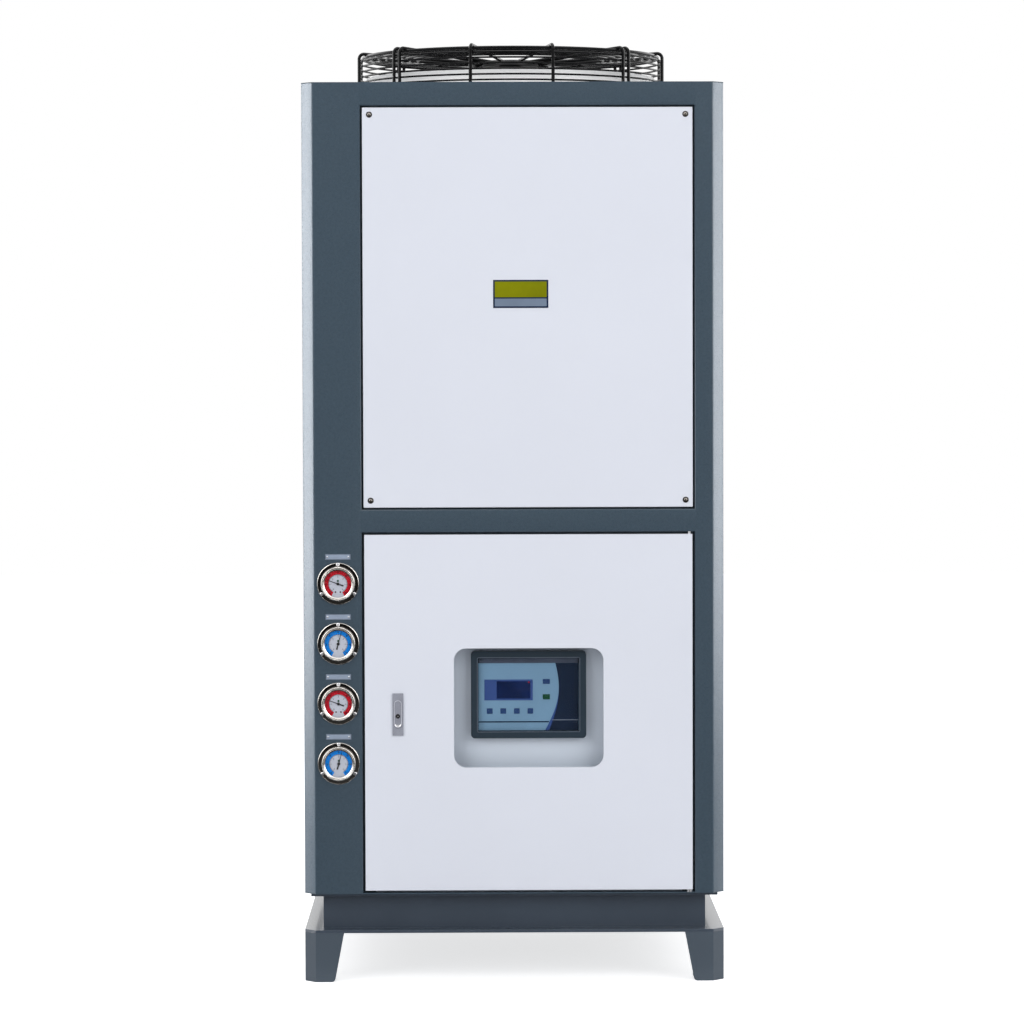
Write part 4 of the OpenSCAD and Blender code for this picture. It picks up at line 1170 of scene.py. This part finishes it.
world = bpy.data.worlds.new("studioWorld")
bpy.context.scene.world = world
world.use_nodes = True
worldTree = world.node_tree
worldTree.nodes.clear()
worldOut = worldTree.nodes.new("ShaderNodeOutputWorld")
worldMix = worldTree.nodes.new("ShaderNodeMixShader")
softSky = worldTree.nodes.new("ShaderNodeBackground")
softSky.inputs["Color"].default_value = studio["skyTone"]
softSky.inputs["Strength"].default_value = studio["sky"]
whiteSky = worldTree.nodes.new("ShaderNodeBackground")
whiteSky.inputs["Color"].default_value = (1, 1, 1, 1)
worldTree.links.new(seenDirectly(worldTree), worldMix.inputs["Fac"])
worldTree.links.new(softSky.outputs[0], worldMix.inputs[1])
worldTree.links.new(whiteSky.outputs[0], worldMix.inputs[2])
worldTree.links.new(worldMix.outputs[0], worldOut.inputs["Surface"])


def addSoftbox(name, place, target, width, height, power):
    lamp = bpy.data.lights.new(name, "AREA")
    lamp.shape = "RECTANGLE"
    lamp.size, lamp.size_y = width, height
    lamp.energy = power
    obj = bpy.data.objects.new(name, lamp)
    aim = Vector(target) - Vector(place)
    obj.matrix_world = Matrix.Translation(place) @ aim.to_track_quat("-Z", "Y").to_matrix().to_4x4()
    bpy.context.scene.collection.objects.link(obj)
    return obj


# place, aim, width, height, power
softboxes = {
    "frontLeft": ((-4.6, -5.2, 3.4), (0, 0, 1.0), 4.4, 4.4, 160),
    "frontRight": ((4.6, -5.2, 3.4), (0, 0, 1.0), 4.4, 4.4, 160),
    "rearLeft": ((-4.6, 5.2, 3.4), (0, 0, 1.0), 4.4, 4.4, 130),
    "rearRight": ((4.6, 5.2, 3.4), (0, 0, 1.0), 4.4, 4.4, 130),
    "overhead": ((0, -0.2, 4.8), (0, 0, 0.8), 3.0, 3.0, 80),
    "leftStrip": ((-3.2, -0.25, 1.55), (-0.4, -0.42, 1.4), 0.9, 2.5, 75),
    "rightStrip": ((3.2, -0.25, 1.35), (0.4, -0.42, 1.3), 0.9, 1.9, 43),
}
lamps = {name: addSoftbox(name, *values) for name, values in softboxes.items()}

# the guard throws no wire shadows on the collar from the front
guardLetsBy = bpy.data.collections.new("guardLetsBy")
guardLetsBy.objects.link(guardPiece)
guardLetsBy.collection_objects[0].light_linking.link_state = "EXCLUDE"
for name in ("frontLeft", "frontRight"):
    lamps[name].light_linking.blocker_collection = guardLetsBy

# the strips only shine on the chamfers
cornerOnly = bpy.data.collections.new("cornerOnly")
cornerOnly.objects.link(cornerPiece)
for name in ("leftStrip", "rightStrip"):
    lamps[name].light_linking.receiver_collection = cornerOnly
    lamps[name].data.color = studio["stripTone"]

# Dark cloth before the object, with a pale card on it: only polished pieces see them
w, near, far, lift, high = studio["cloth"].values()
clothVerts = [(-w, far, lift), (w, far, lift), (w, near, lift), (-w, near, lift),
              (-w, far, high), (w, far, high)]
cloth = addStage("darkCloth", clothVerts, [[0, 1, 2, 3], [0, 4, 5, 1]],
                 paintMaterial("clothBlack", (0.012, 0.012, 0.013), 0.9, 200, 0.1, 0.001))
(x0, x1), far, (z0, z1) = studio["card"].values()
card = addStage("paleCard", [(x0, far, z0), (x1, far, z0), (x1, far, z1), (x0, far, z1)], [[0, 1, 2, 3]],
                paintMaterial("cardPaper", (0.55, 0.5, 0.43), 0.9, 200, 0.1, 0.001))
for hidden in (cloth, card):
    hidden.visible_camera = False
    hidden.visible_diffuse = False
    hidden.visible_shadow = False
    hidden.visible_transmission = False

shot = {"distance": 7.7, "height": 1.275, "aside": -0.07, "yaw": 0.4985, "pitch": 2.36, "roll": 0.165,
        "lens": 133.6, "sensor": 36.0, "farthest": 100}
lens = bpy.data.cameras.new("photoCamera")
lens.lens = shot["lens"]
lens.sensor_width = shot["sensor"]
lens.clip_end = shot["farthest"]
camera = bpy.data.objects.new("photoCamera", lens)
bpy.context.scene.collection.objects.link(camera)
camera.matrix_world = (Matrix.Translation((shot["aside"], faceY - shot["distance"], shot["height"]))
                       @ Matrix.Rotation(math.radians(-shot["yaw"]), 4, "Z")
                       @ Matrix.Rotation(math.radians(90 - shot["pitch"]), 4, "X")
                       @ Matrix.Rotation(math.radians(-shot["roll"]), 4, "Z"))
bpy.context.scene.camera = camera
bpy.context.scene.view_settings.view_transform = "Standard"
print("studio set up")
